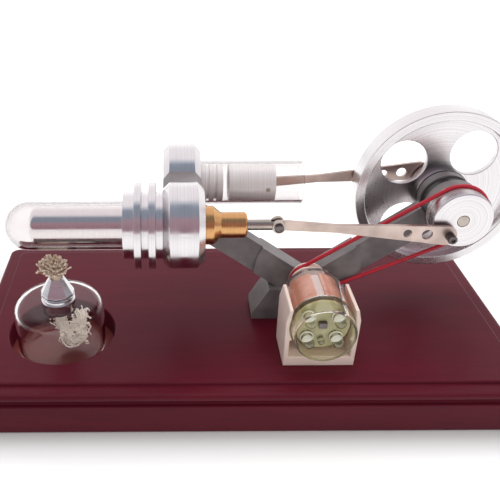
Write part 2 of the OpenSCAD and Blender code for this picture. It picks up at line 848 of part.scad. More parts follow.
module rear_connecting_rod() {
  connecting_rod(rear_wrist_x, rear_line_y, rear_rod_tilt);
}

module front_crank_screw() {
  color([0.2, 0.19, 0.19])
    translate([front_pin_x, front_line_y, axis_z + front_pin_rise]) {
      bar_y(-rod_thickness / 2, rod_thickness / 2, crank_pin_radius);
      bar_y(-rod_thickness / 2 - screw_head_length, -rod_thickness / 2, screw_head_radius);
    }
}

module rear_crank_screw() {
  color([0.2, 0.19, 0.19])
    translate([rear_pin_x, rear_line_y, axis_z + rear_pin_rise]) {
      bar_y(-rod_thickness / 2, rod_thickness / 2, crank_pin_radius);
      bar_y(rod_thickness / 2, rod_thickness / 2 + screw_head_length / 2, screw_head_radius);
    }
}

// ---- rotor ----

module crankshaft() {
  color([0.6, 0.56, 0.5])
    translate([shaft_x, 0, axis_z]) bar_y(pulley_front_y, rear_disc_rear_y, shaft_radius);
}

module crank_pulley() {
  groove_y = belt_y;
  color([0.86, 0.85, 0.85])
    translate([shaft_x, 0, axis_z])
      difference() {
        union() {
          translate([0, pulley_front_y + pulley_chamfer, 0]) rotate([90, 0, 0])
            cylinder(h = pulley_chamfer, r1 = pulley_radius, r2 = pulley_radius - pulley_chamfer);
          bar_y(pulley_front_y + pulley_chamfer, groove_y - groove_width / 2, pulley_radius);
          bar_y(groove_y - groove_width / 2, groove_y + groove_width / 2, groove_root_radius);
          bar_y(groove_y + groove_width / 2, pulley_rear_y, pulley_radius);
        }
        bar_y(pulley_front_y - cut, pulley_rear_y + cut, shaft_radius + slip_gap);
      }
}

module front_crank_pin() {
  color([0.55, 0.54, 0.53])
    translate([front_pin_x, 0, axis_z + front_pin_rise])
      bar_y(front_line_y + crank_pin_stop, pulley_front_y, crank_pin_radius);
}

module flywheel() {
  color([0.8, 0.8, 0.82])
    translate([shaft_x, 0, axis_z])
      difference() {
        union() {
          difference() {
            bar_y(wheel_front_y, wheel_rear_y, wheel_radius);
            bar_y(wheel_front_y - cut, wheel_rear_y + cut, wheel_radius - rim_thickness);
          }
          difference() {
            bar_y(web_front_y, web_rear_y, wheel_radius - rim_thickness / 2);
            for (i = [0 : web_hole_count - 1])
              rotate([0, -web_hole_angle - i * 360 / web_hole_count, 0])
                translate([web_hole_circle, 0, 0])
                  bar_y(web_front_y - cut, web_rear_y + cut, web_hole_radius);
          }
          bar_y(wheel_front_y, hub_rear_y, wheel_hub_radius);
        }
        bar_y(wheel_front_y - cut, hub_rear_y + cut, shaft_radius + slip_gap);
      }
}

module rear_crank_disc() {
  color([0.84, 0.84, 0.84])
    translate([shaft_x, 0, axis_z])
      difference() {
        bar_y(hub_rear_y, rear_disc_rear_y, rear_disc_radius);
        bar_y(hub_rear_y - cut, rear_disc_rear_y + cut, shaft_radius + slip_gap);
      }
}

module rear_crank_pin() {
  color([0.55, 0.54, 0.53])
    translate([rear_pin_x, 0, axis_z + rear_pin_rise])
      bar_y(rear_disc_rear_y, rear_line_y - crank_pin_stop, crank_pin_radius);
}

// ---- belt and generator ----

// A round-section arc of the belt, swept through an angle from a start angle
module belt_arc(radius, start, sweep) {
  rotate([90, 0, 0]) rotate(start) rotate_extrude(angle = sweep)
    translate([radius, 0]) circle(belt_radius);
}

// One straight strand, with its ends let into both arcs; side is 1 for the upper one
module belt_side(side) {
  leave = belt_slope + side * (90 + belt_spread);
  run = belt_slope + 180 + side * belt_spread;
  translate([shaft_x, belt_y, axis_z]) rotate([90, 0, 0])
    translate([big_belt_radius * cos(leave), big_belt_radius * sin(leave), 0])
      rotate(run) rotate([0, 90, 0]) translate([0, 0, -strand_lap])
        cylinder(h = belt_strand + 2 * strand_lap, r = belt_radius - strand_step);
}

module drive_belt() {
  color([0.7, 0.06, 0.12]) {
    translate([shaft_x, belt_y, axis_z])
      belt_arc(big_belt_radius, belt_slope - 90 - belt_spread, 180 + 2 * belt_spread);
    translate([generator_x, belt_y, generator_z])
      belt_arc(small_belt_radius, belt_slope + 90 + belt_spread, 180 - 2 * belt_spread);
    belt_side(1);
    belt_side(-1);
  }
}

module generator_cradle() {
  floor_z = -generator_rise;
  inner = cradle_half - cradle_wall;
  shoulder = 3.2;
  seat = case_radius + near_gap;
  color([0.92, 0.87, 0.82])
    translate([generator_x, 0, generator_z])
      plate_y(cradle_front_y, cradle_front_y + cradle_length)
        difference() {
          polygon([
            [-cradle_foot_half, floor_z], [-cradle_half, -shoulder], [-cradle_half, shoulder],
            [-horn_half, horn_rise], [horn_half, horn_rise], [cradle_half, shoulder],
            [cradle_half, -shoulder], [cradle_foot_half, floor_z]
          ]);
          circle(seat);
          polygon([
            [-seat + slip_gap, 0], [-horn_half + horn_tip, horn_rise + cut],
            [horn_half - horn_tip, horn_rise + cut], [seat - slip_gap, 0]
          ]);
          translate([-inner, floor_z + cradle_floor])
            square([2 * inner, generator_rise - cradle_floor - 2 * shoulder]);
        }
}

module generator_case() {
  color([0.85, 0.85, 0.82, 0.35])
    translate([generator_x, 0, generator_z])
      difference() {
        bar_y(case_front_y, case_rear_y, case_radius);
        bar_y(case_front_y - cut, case_rear_y - case_wall, case_radius - case_wall);
        bar_y(case_front_y, case_rear_y + cut, generator_shaft_radius + running_gap);
      }
}

module generator_coils() {
  coil_radius = case_radius - case_wall - near_gap;
  coil_bore = 4;
  color([0.72, 0.42, 0.32])
    translate([generator_x, 0, generator_z])
      difference() {
        bar_y(case_front_y + case_wall, case_rear_y - 2 * case_wall, coil_radius);
        bar_y(case_front_y, case_rear_y, coil_bore);
      }
}

module led_cap() {
  color([0.88, 0.9, 0.86, 0.35])
    translate([generator_x, 0, generator_z])
      difference() {
        translate([0, case_front_y, 0]) rotate([90, 0, 0])
          cylinder(h = cap_length, r1 = case_radius, r2 = cap_front_radius);
        bar_y(cap_front_y - cut, case_front_y - cap_wall, cap_front_radius - cap_wall);
      }
}

module led_board() {
  color([0.6, 0.62, 0.45])
    translate([generator_x, 0, generator_z]) bar_y(board_front_y, board_rear_y, board_radius);
}

// One LED on the board, on the side given by sx and sz
module led(sx, sz) {
  dome_y = cap_front_y + led_radius;
  color([0.92, 0.93, 0.85, 0.6])
    translate([generator_x + sx * led_half_x, 0, generator_z + sz * led_half_z]) {
      bar_y(dome_y, board_front_y, led_radius);
      intersection() {
        translate([0, dome_y, 0]) sphere(led_radius);
        bar_y(dome_y - led_radius - cut, dome_y, led_radius);
      }
    }
}

module led_upper_left() {
  led(-1, 1);
}

module led_upper_right() {
  led(1, 1);
}

module led_lower_left() {
  led(-1, -1);
}

module led_lower_right() {
  led(1, -1);
}

module generator_shaft() {
  inner_end_y = (case_front_y + case_rear_y) / 2;
  color([0.6, 0.6, 0.6])
    translate([generator_x, 0, generator_z])
      bar_y(inner_end_y, belt_y + small_pulley_width / 2, generator_shaft_radius);
}

module generator_pulley() {
  half = small_pulley_width / 2;
  color([0.9, 0.88, 0.84])
    translate([generator_x, belt_y, generator_z])
      difference() {
        union() {
          bar_y(-half, -groove_width / 2, small_root_radius + small_flange);
          bar_y(-groove_width / 2, groove_width / 2, small_root_radius);
          bar_y(groove_width / 2, half, small_root_radius + small_flange);
        }
        bar_y(-half - cut, half + cut, generator_shaft_radius + slip_gap);
      }
}

wood_base();
burner_bottle();
wick_holder();
burner_wick();
burner_cotton();
hot_tube();
cooler();
brass_gland();
frame();
power_cylinder_head();
power_cylinder_glass();
front_bearing_ring();
rear_bearing_ring();
drive_belt();
generator_cradle();
generator_case();
generator_coils();
led_cap();
led_board();
led_upper_left();
led_upper_right();
led_lower_left();
led_lower_right();
displacer();
displacer_rod();
displacer_wrist_pin();
front_connecting_rod();
front_crank_screw();
crankshaft();
crank_pulley();
front_crank_pin();
flywheel();
rear_crank_disc();
rear_crank_pin();
power_piston();
power_wrist_pin();
rear_connecting_rod();
rear_crank_screw();
generator_shaft();
generator_pulley();
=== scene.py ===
import json
import math
import random

import bpy
from bpy.props import FloatProperty, FloatVectorProperty, IntProperty, PointerProperty
from mathutils import Matrix, Vector


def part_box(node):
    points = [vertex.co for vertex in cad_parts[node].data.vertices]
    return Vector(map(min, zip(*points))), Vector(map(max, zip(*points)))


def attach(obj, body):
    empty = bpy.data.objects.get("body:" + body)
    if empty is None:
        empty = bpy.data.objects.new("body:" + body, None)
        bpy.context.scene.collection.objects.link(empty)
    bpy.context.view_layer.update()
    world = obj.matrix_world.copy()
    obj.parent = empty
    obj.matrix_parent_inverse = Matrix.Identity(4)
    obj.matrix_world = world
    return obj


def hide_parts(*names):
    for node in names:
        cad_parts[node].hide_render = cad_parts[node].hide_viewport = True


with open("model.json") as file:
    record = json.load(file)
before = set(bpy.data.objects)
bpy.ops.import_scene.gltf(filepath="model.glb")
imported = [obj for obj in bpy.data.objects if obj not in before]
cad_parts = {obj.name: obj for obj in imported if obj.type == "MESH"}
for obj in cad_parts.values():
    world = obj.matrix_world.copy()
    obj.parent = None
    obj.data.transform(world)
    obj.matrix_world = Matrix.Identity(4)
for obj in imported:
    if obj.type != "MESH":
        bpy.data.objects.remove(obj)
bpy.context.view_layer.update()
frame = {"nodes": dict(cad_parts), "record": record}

bl_info = {
    "name": "Desk Hot-Air Engine Looks",
    "version": (1, 0, 0),
    "blender": (4, 5, 0),
    "location": "View3D > Sidebar > Hot-Air Engine",
    "description": "Finishes and fine pieces for a desk hot-air engine with a belt-driven generator",
    "category": "Object",
}

NODES = frame["nodes"]
MM = 0.001
WELD = 0.000002  # points closer together than this become one
FINE_WELD = 0.000001  # the same, for threads
FLAT_ANGLE = 0.8  # degrees; flatter edges than this are no edges of the shape
MANY_FACES = 10000  # pieces with more faces than this keep their plain shading
GOLDEN_TURN = 2.39996  # radians from one thread to the next, which spreads them evenly
SPECK_SIZE = 0.0004  # grain of paint, rubber, plastic and drawn metal
SEED = 4  # for the lie of the wick's and the cotton's threads


# ---- where things are, read from the frame ----


def low_high(name):
    """The lowest and highest corner of a CAD node, as vectors."""
    low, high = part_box(name)
    return Vector(low), Vector(high)


def middle(name):
    """The middle of a CAD node's box."""
    low, high = low_high(name)
    return (low + high) / 2


def round_size(name, axis):
    """The length in millimetres of a turned CAD node along its axis, 0 to 2, and its radius."""
    low, high = low_high(name)
    across = 0 if axis != 0 else 2
    return (high[axis] - low[axis]) / MM, (high[across] - low[across]) / 2 / MM


FRONT_LINE = middle("hot_tube")
REAR_LINE = middle("power_cylinder_glass")
SHAFT = middle("flywheel")
GENERATOR = middle("generator_case")
BURNER = middle("burner_bottle")
RECORD = frame["record"]
BODIES = RECORD["behaviour"]["bodies"]
BODY_OF = {node: body for body, names in BODIES.items() for node in names}
ALONG_X = (1.0, 0.0, 0.0)
ALONG_Y = (0.0, 1.0, 0.0)
ALONG_Z = (0.0, 0.0, 1.0)
TO_FRONT = (0.0, -1.0, 0.0)
ORIGIN = (0.0, 0.0, 0.0)


# ---- node trees ----


def add(tree, kind, inputs=None, **settings):
    """Adds a shader node. An input value may be a number, a colour or another node's socket."""
    node = tree.nodes.new(kind)
    for name, value in settings.items():
        setattr(node, name, value)
    for name, value in (inputs or {}).items():
        socket = node.inputs[name]
        if isinstance(value, bpy.types.NodeSocket):
            tree.links.new(value, socket)
        else:
            socket.default_value = value
    return node


def maths(tree, operation, a, b=0.0):
    """One Math node, and its result."""
    return add(tree, "ShaderNodeMath", {0: a, 1: b}, operation=operation).outputs[0]


def vector_maths(tree, operation, a, b):
    """One Vector Math node."""
    return add(tree, "ShaderNodeVectorMath", {0: a, 1: b}, operation=operation)


def scaled(tree, vector, factor):
    """A vector times a number."""
    inputs = {0: vector, "Scale": factor}
    return add(tree, "ShaderNodeVectorMath", inputs, operation="SCALE").outputs["Vector"]


def spread(tree, value, low, high, to_low=0.0, to_high=1.0):
    """Maps a value from one range to another, and keeps it inside."""
    ranges = {"From Min": low, "From Max": high, "To Min": to_low, "To Max": to_high}
    return add(tree, "ShaderNodeMapRange", {"Value": value, **ranges}).outputs["Result"]


def blend_colours(tree, share, first, second):
    """Mixes two colours by a share from 0 to 1. Each may be three numbers or another node's socket."""
    inputs = {0: share}
    for index, colour in ((6, first), (7, second)):
        inputs[index] = colour if isinstance(colour, bpy.types.NodeSocket) else (*colour, 1.0)
    return add(tree, "ShaderNodeMix", inputs, data_type="RGBA").outputs[2]


def mix_shaders(tree, share, first, second):
    """Mixes two shaders by a share from 0 to 1."""
    return add(tree, "ShaderNodeMixShader", {0: share, 1: first, 2: second}).outputs[0]


def new_group(name, inputs, outputs):
    """An empty shader node group with named sockets, and its two end nodes."""
    tree = bpy.data.node_groups.new(name, "ShaderNodeTree")
    for label, kind, default in inputs:
        socket = tree.interface.new_socket(label, in_out="INPUT", socket_type=kind)
        socket.default_value = default
    for label, kind in outputs:
        tree.interface.new_socket(label, in_out="OUTPUT", socket_type=kind)
    return tree, tree.nodes.new("NodeGroupInput"), tree.nodes.new("NodeGroupOutput")


def make_lathe_group():
    """Fine turning marks about an axis, and the slow change of tone between them."""
    tree, start, end = new_group(
        "Turning Marks",
        [
            ("Axis", "NodeSocketVector", ALONG_X),
            ("Centre", "NodeSocketVector", ORIGIN),
            ("Pitch", "NodeSocketFloat", 0.0003),
        ],
        [("Marks", "NodeSocketFloat"), ("Tone", "NodeSocketFloat")],
    )
    place = add(tree, "ShaderNodeTexCoord").outputs["Object"]
    offset = vector_maths(tree, "SUBTRACT", place, start.outputs["Centre"]).outputs["Vector"]
    along = vector_maths(tree, "DOT_PRODUCT", offset, start.outputs["Axis"]).outputs["Value"]
    part = scaled(tree, start.outputs["Axis"], along)
    across = vector_maths(tree, "SUBTRACT", offset, part).outputs["Vector"]
    radius = add(tree, "ShaderNodeVectorMath", {0: across}, operation="LENGTH").outputs["Value"]
    marks = maths(tree, "DIVIDE", maths(tree, "ADD", along, radius), start.outputs["Pitch"])
    bands = maths(tree, "MULTIPLY", marks, 0.07)
    for path, detail, label in ((marks, 3.0, "Marks"), (bands, 2.0, "Tone")):
        inputs = {"W": path, "Scale": 1.0, "Detail": detail}
        noise = add(tree, "ShaderNodeTexNoise", inputs, noise_dimensions="1D")
        tree.links.new(noise.outputs[0], end.inputs[label])
    return tree


def make_wood_group():
    """Straight wood grain that runs along X, with short pores."""
    tree, start, end = new_group(
        "Straight Grain",
        [("Scale", "NodeSocketFloat", 1.0)],
        [("Figure", "NodeSocketFloat"), ("Pores", "NodeSocketFloat")],
    )
    place = scaled(tree, add(tree, "ShaderNodeTexCoord").outputs["Object"], start.outputs["Scale"])
    waves = {"Detail": 5.0, "Roughness": 0.55, "Distortion": 0.6}
    noises = []
    for stretch, settings in (((9.0, 60.0, 50.0), waves), ((60.0, 1500.0, 1100.0), {"Detail": 1.0})):
        stretched = add(tree, "ShaderNodeMapping", {"Vector": place, "Scale": stretch}).outputs["Vector"]
        noise = add(tree, "ShaderNodeTexNoise", {"Vector": stretched, "Scale": 1.0, **settings})
        noises.append(noise.outputs[0])
    tree.links.new(noises[0], end.inputs["Figure"])
    tree.links.new(spread(tree, noises[1], 0.56, 0.72), end.inputs["Pores"])
    return tree


def make_handling_group():
    """Slow smudges and fine specks, as a handled surface has."""
    tree, start, end = new_group(
        "Handling",
        [("Smudge Size", "NodeSocketFloat", 0.02), ("Speck Size", "NodeSocketFloat", 0.0006)],
        [("Smudge", "NodeSocketFloat"), ("Speck", "NodeSocketFloat")],
    )
    place = add(tree, "ShaderNodeTexCoord").outputs["Object"]
    for label, detail in (("Smudge", 3.0), ("Speck", 2.0)):
        scale = maths(tree, "DIVIDE", 1.0, start.outputs[label + " Size"])
        noise = add(tree, "ShaderNodeTexNoise", {"Vector": place, "Scale": scale, "Detail": detail})
        tree.links.new(noise.outputs[0], end.inputs[label])
    return tree


GROUP_MAKERS = {"lathe": make_lathe_group, "wood": make_wood_group, "handling": make_handling_group}
GROUPS = {}


def use_group(tree, key, **inputs):
    """Places one of the shared groups in a material; input names have _ for a blank."""
    if key not in GROUPS:
        GROUPS[key] = GROUP_MAKERS[key]()
    node = tree.nodes.new("ShaderNodeGroup")
    node.node_tree = GROUPS[key]
    for name, value in inputs.items():
        node.inputs[name.replace("_", " ")].default_value = value
    return node


def new_material(name, colour, **inputs):
    """A material, its tree and its Principled shader. Input names have _ for a blank."""
    material = bpy.data.materials.new(name)
    material.use_nodes = True
    material.diffuse_color = (*colour, 1.0)
    tree = material.node_tree
    shader = tree.nodes["Principled BSDF"]
    shader.inputs["Base Color"].default_value = (*colour, 1.0)
    for key, value in inputs.items():
        shader.inputs[key.replace("_", " ")].default_value = value
    return material, tree, shader


def bump(tree, shader, height, distance):
    """Feeds a height into the shader's normal."""
    node = add(tree, "ShaderNodeBump", {"Height": height, "Distance": distance, "Strength": 1.0})
    tree.links.new(node.outputs["Normal"], shader.inputs["Normal"])


def darker(colour, share):
    """A share of a colour."""
    return tuple(share * part for part in colour)


def turned_metal(name, colour, axis, centre, roughness=(0.14, 0.26), pitch=0.0003, marks=0.000004, metal=1.0):
    """Bright metal with the marks of a lathe tool about one axis."""
    material, tree, shader = new_material(name, colour, Metallic=metal)
    lathe = use_group(tree, "lathe", Axis=axis, Centre=tuple(centre), Pitch=pitch)
    hand = use_group(tree, "handling", Smudge_Size=0.012)
    bands = maths(tree, "MULTIPLY", lathe.outputs["Tone"], 0.6)
    smudges = maths(tree, "MULTIPLY", hand.outputs["Smudge"], 0.4)
    tone = maths(tree, "ADD", bands, smudges)
    tree.links.new(spread(tree, tone, 0.35, 0.65, *roughness), shader.inputs["Roughness"])
    share = spread(tree, lathe.outputs["Marks"], 0.35, 0.7)
    tree.links.new(blend_colours(tree, share, colour, darker(colour, 0.86)), shader.inputs["Base Color"])
    bump(tree, shader, lathe.outputs["Marks"], marks)
    return material


def plain_metal(name, colour, roughness=(0.25, 0.4)):
    """Drawn or rolled metal with smudges and a fine grain."""
    material, tree, shader = new_material(name, colour, Metallic=1.0)
    hand = use_group(tree, "handling", Smudge_Size=0.01, Speck_Size=SPECK_SIZE)
    tree.links.new(spread(tree, hand.outputs["Smudge"], 0.35, 0.65, *roughness), shader.inputs["Roughness"])
    share = spread(tree, hand.outputs["Smudge"], 0.4, 0.75)
    tree.links.new(blend_colours(tree, share, colour, darker(colour, 0.72)), shader.inputs["Base Color"])
    bump(tree, shader, hand.outputs["Speck"], 0.000006)
    return material


def coated(name, colour, other, roughness, smudge=0.02, depth=0.00001):
    """Paint, rubber, plastic or cotton with a slow change of colour and a fine grain."""
    material, tree, shader = new_material(name, colour)
    hand = use_group(tree, "handling", Smudge_Size=smudge, Speck_Size=SPECK_SIZE)
    tree.links.new(spread(tree, hand.outputs["Smudge"], 0.3, 0.7, *roughness), shader.inputs["Roughness"])
    share = spread(tree, hand.outputs["Smudge"], 0.35, 0.7)
    tree.links.new(blend_colours(tree, share, colour, other), shader.inputs["Base Color"])
    bump(tree, shader, hand.outputs["Speck"], depth)
    return material


def clear(name, colour, edge, ior, roughness=0.0, waves=0.00002, power=3.0, **inputs):
    """Clear glass or plastic, with painted shade where it is seen edge on. Light passes straight through to
    the rest.
    """
    material, tree, shader = new_material(
        name, colour, Transmission_Weight=1.0, IOR=ior, Roughness=roughness, Metallic=0.0, **inputs
    )
    # Painted shade: the colour turns to the darker edge colour where the surface is seen edge on.
    facing = add(tree, "ShaderNodeLayerWeight", {"Blend": 0.5}).outputs["Facing"]
    painted_edge_shade = maths(tree, "POWER", facing, power)
    tree.links.new(blend_colours(tree, painted_edge_shade, colour, edge), shader.inputs["Base Color"])
    hand = use_group(tree, "handling", Smudge_Size=0.014)
    bump(tree, shader, hand.outputs["Smudge"], waves)
    through = add(tree, "ShaderNodeBsdfTransparent", {"Color": (*[part ** 0.5 for part in colour], 1.0)})
    rays = add(tree, "ShaderNodeLightPath").outputs
    passed = maths(tree, "SUBTRACT", rays["Is Glossy Ray"], rays["Is Transmission Ray"])
    passed = maths(tree, "MAXIMUM", passed, rays["Is Diffuse Ray"])
    passed = maths(tree, "MAXIMUM", passed, rays["Is Shadow Ray"])
    mixed = mix_shaders(tree, passed, shader.outputs["BSDF"], through.outputs["BSDF"])
    tree.links.new(mixed, tree.nodes["Material Output"].inputs["Surface"])
    return material


def lacquered_wood(name, colour, dark, ruddy):
    """Red stained wood with darker pores, under a satin lacquer."""
    material, tree, shader = new_material(
        name, colour, Coat_Weight=0.08, Coat_Roughness=0.2, Coat_IOR=1.35, Specular_IOR_Level=0.1
    )
    wood = use_group(tree, "wood", Scale=1.0)
    hand = use_group(tree, "handling", Smudge_Size=0.05)
    stained = blend_colours(tree, spread(tree, wood.outputs["Figure"], 0.32, 0.7), colour, ruddy)
    toned = blend_colours(tree, maths(tree, "MULTIPLY", wood.outputs["Pores"], 0.2), stained, dark)
    tree.links.new(toned, shader.inputs["Base Color"])
    tree.links.new(spread(tree, hand.outputs["Smudge"], 0.3, 0.7, 0.34, 0.44), shader.inputs["Roughness"])
    bump(tree, shader, wood.outputs["Figure"], 0.00001)
    return material


MATERIALS = {}


def make_materials(colours):
    """Every finish of the engine, by name."""
    moulded = {"Coat_Weight": 0.6, "Coat_IOR": 1.5, "Coat_Roughness": 0.12}
    MATERIALS.update(
        mahogany=lacquered_wood("mahogany", colours.wood, (0.03, 0.003, 0.007), (0.105, 0.0075, 0.0175)),
        pocket=lacquered_wood("pocket_wood", (0.13, 0.028, 0.027), (0.05, 0.01, 0.01), (0.17, 0.04, 0.035)),
        # Each clear finish gives its colour, then the darker colour of its painted edge shade, then its index
        # of refraction.
        tube_glass=clear(
            "tube_glass", (0.885, 0.86, 0.86), (0.4, 0.36, 0.37), 1.12, 0.0, 0.000004,
            Coat_Weight=0.6, Coat_IOR=1.45,
        ),
        glass=clear(
            "clear_glass", (0.985, 0.97, 0.97), (0.85, 0.8, 0.8), 1.2, Coat_Weight=0.25, Coat_IOR=1.45
        ),
        plastic=clear(
            "clear_plastic", (0.95, 0.93, 0.92), (0.6, 0.52, 0.5), 1.25, 0.05, 0.00004, 2.5, **moulded
        ),
        # The cap's greenish yellow tint is a painted reflection of the green board behind it.
        cap_plastic=clear(
            "cap_plastic", (0.88, 0.87, 0.74), (0.8, 0.78, 0.68), 1.25, 0.1, 0.00004, 2.5, **moulded
        ),
        resin=clear(
            "led_resin", (0.97, 0.97, 0.92), (0.7, 0.7, 0.6), 1.35, 0.03, 0.00002, 2.5,
            Coat_Weight=1.0, Coat_IOR=1.7, Coat_Roughness=0.1,
        ),
        front_aluminium=turned_metal("front_line_aluminium", colours.aluminium, ALONG_X, FRONT_LINE),
        rear_aluminium=turned_metal("rear_line_aluminium", colours.aluminium, ALONG_X, REAR_LINE),
        wheel_aluminium=turned_metal(
            "wheel_aluminium", (0.8, 0.775, 0.785), ALONG_Y, SHAFT, (0.22, 0.36), 0.0008, 0.0000015
        ),
        piston=turned_metal(
            "satin_aluminium", (1.0, 0.985, 0.98), ALONG_X, REAR_LINE, (0.4, 0.5), 0.0006, metal=0.15
        ),
        polished=turned_metal("bright_metal", (0.95, 0.92, 0.92), ALONG_X, FRONT_LINE, (0.12, 0.22)),
        holder=turned_metal("holder_metal", (0.75, 0.75, 0.76), ALONG_Z, BURNER, (0.15, 0.28)),
        brass=turned_metal(
            "turned_brass", colours.brass, ALONG_X, FRONT_LINE, (0.2, 0.34), 0.0005, 0.000008
        ),
        steel=plain_metal("dull_steel", (0.5, 0.44, 0.39)),
        dark_steel=plain_metal("dark_steel", (0.16, 0.14, 0.14)),
        strip=plain_metal("nickel_strip", (0.61, 0.49, 0.44), (0.28, 0.4)),
        casting=coated(
            "grey_casting", colours.casting, (0.23, 0.205, 0.207), (0.38, 0.52), 0.009, 0.00003
        ),
        rubber=coated("black_rubber", (0.012, 0.012, 0.013), (0.02, 0.02, 0.02), (0.35, 0.5)),
        belt=coated("red_rubber", colours.belt, (0.42, 0.008, 0.02), (0.3, 0.42)),
        cream=coated("cream_plastic", colours.cream, (0.85, 0.7, 0.64), (0.38, 0.5)),
        copper=coated("copper_wire", colours.copper, (0.72, 0.34, 0.24), (0.25, 0.4), 0.004, 0.00004),
        silver_band=coated("silver_band", (0.72, 0.58, 0.55), (0.62, 0.48, 0.45), (0.3, 0.45), 0.004),
        board=coated("board_green", colours.board, (0.55, 0.52, 0.32), (0.4, 0.5), 0.004),
        # The cups' finish also colours the white rings that are painted highlights on the lenses.
        lamp_cup=coated("lamp_cup", (0.9, 0.9, 0.84), (0.8, 0.8, 0.72), (0.2, 0.35)),
        cotton=coated("cotton", (1.0, 0.95, 0.88), (0.9, 0.8, 0.68), (0.85, 0.95), 0.002, 0.0001),
        wick=coated("frayed_cotton", (0.93, 0.83, 0.7), (0.36, 0.17, 0.085), (0.8, 0.95), 0.0014, 0.0001),
    )


# CAD nodes that are shown as they are, by finish.
KEPT_NODES = {
    "tube_glass": ["hot_tube"],
    "belt": ["drive_belt"],
    "steel": ["front_crank_pin", "rear_crank_pin", "power_wrist_pin", "generator_shaft"],
}


# ---- shaping ----


def new_object(name, data):
    """Puts a mesh, a curve, a lamp or a camera into the scene."""
    thing = bpy.data.objects.new(name, data)
    bpy.context.scene.collection.objects.link(thing)
    return thing


def fresh():
    """Leaves edit mode and deselects everything."""
    if bpy.context.object is not None and bpy.context.object.mode != "OBJECT":
        bpy.ops.object.mode_set(mode="OBJECT")
    bpy.ops.object.select_all(action="DESELECT")


def take(piece):
    """Makes one piece the only selected and active one."""
    fresh()
    piece.select_set(True)
    bpy.context.view_layer.objects.active = piece


def edit_all():
    """Goes into edit mode with the whole piece selected."""
    bpy.ops.object.mode_set(mode="EDIT")
    bpy.ops.mesh.select_all(action="SELECT")


def close_edit(weld=0.0):
    """Merges points that are closer than a distance, turns all faces outwards and leaves edit mode."""
    bpy.ops.mesh.select_all(action="SELECT")
    if weld:
        bpy.ops.mesh.remove_doubles(threshold=weld)
    bpy.ops.mesh.normals_make_consistent(inside=False)
    bpy.ops.object.mode_set(mode="OBJECT")


def apply_modifier(piece, kind, **settings):
    """Adds one modifier and applies it."""
    take(piece)
    modifier = piece.modifiers.new(kind.lower(), kind)
    for name, value in settings.items():
        setattr(modifier, name, value)
    bpy.ops.object.modifier_apply(modifier=modifier.name)


def soften(piece, width, angle=35.0):
    """Rounds over the edges that turn more than an angle, by a width in millimetres."""
    apply_modifier(
        piece, "BEVEL", width=width * MM, segments=2, limit_method="ANGLE",
        angle_limit=math.radians(angle), miter_outer="MITER_ARC", harden_normals=False,
    )


def join(pieces):
    """Joins pieces into the first one."""
    take(pieces[0])
    for piece in pieces:
        piece.select_set(True)
    bpy.ops.object.join()
    return pieces[0]


def copied(piece, move):
    """A copy of a piece with its own mesh, put elsewhere by a matrix."""
    copy = new_object(piece.name, piece.data.copy())
    copy.matrix_basis = move @ piece.matrix_basis
    return copy


def settle(piece, name, material, node, replaces=(), angle=38.0):
    """Names a finished piece, gives it its material, and lets it ride with the body of a CAD node.

    Edges that turn more than the angle, in degrees, stay sharp to the eye.
    """
    take(piece)
    bpy.ops.object.transform_apply(location=True, rotation=True, scale=True)
    bpy.ops.object.shade_smooth_by_angle(angle=math.radians(angle))
    if len(piece.data.polygons) < MANY_FACES:
        apply_modifier(piece, "WEIGHTED_NORMAL", keep_sharp=True)
    piece.name = name
    piece.data.name = name
    piece.data.materials.clear()
    for key in (material,) if isinstance(material, str) else material:
        piece.data.materials.append(MATERIALS[key])
    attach(piece, BODY_OF[node])
    if replaces:
        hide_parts(*replaces)
    fresh()
    return piece


def rounding(along, radius, size, first, last, step=15):
    """Outline points on a round about a middle, from one angle to another in degrees.

    Angle 0 points away from the axis and 90 along it.
    """
    points = []
    for degrees in range(first, last + 1, step):
        angle = math.radians(degrees)
        points.append((along + size * math.sin(angle), radius + size * math.cos(angle)))
    return points


def turned(centre, axis, outline, steps=64, sweep=360.0, start=0.0):
    """Spins an outline of (along, radius) pairs in millimetres about an axis through a centre."""
    fresh()
    axis = Vector(axis)
    side = Vector((1.0, 0.0, 0.0)) if axis.z else Vector((0.0, 0.0, 1.0))
    side = Matrix.Rotation(math.radians(start), 3, axis) @ side
    points = [Vector(centre) + axis * along * MM + side * radius * MM for along, radius in outline]
    bpy.ops.mesh.primitive_plane_add(size=MM, location=points[0])
    piece = bpy.context.object
    edit_all()
    bpy.ops.mesh.merge(type="CENTER")
    for here, there in zip(points, points[1:]):
        bpy.ops.mesh.extrude_vertices_move(TRANSFORM_OT_translate={"value": there - here})
    bpy.ops.mesh.select_all(action="SELECT")
    bpy.ops.mesh.spin(steps=steps, angle=math.radians(sweep), center=Vector(centre), axis=axis)
    close_edit(WELD)
    return piece


def block(low, high, width):
    """A block between two corners in millimetres, with rounded edges."""
    fresh()
    low, high = Vector(low) * MM, Vector(high) * MM
    bpy.ops.mesh.primitive_cube_add(size=1.0, location=(low + high) / 2)
    piece = bpy.context.object
    edit_all()
    bpy.ops.transform.resize(value=high - low)
    bpy.ops.object.mode_set(mode="OBJECT")
    soften(piece, width)
    return piece


def rounded_copy(node, width):
    """A copy of a CAD node with its sharp edges rounded over."""
    fresh()
    piece = new_object(node + "_finished", NODES[node].data.copy())
    take(piece)
    edit_all()
    bpy.ops.mesh.remove_doubles(threshold=WELD)
    bpy.ops.mesh.dissolve_limited(angle_limit=math.radians(FLAT_ANGLE))
    bpy.ops.object.mode_set(mode="OBJECT")
    soften(piece, width)
    return piece


# ---- pieces ----


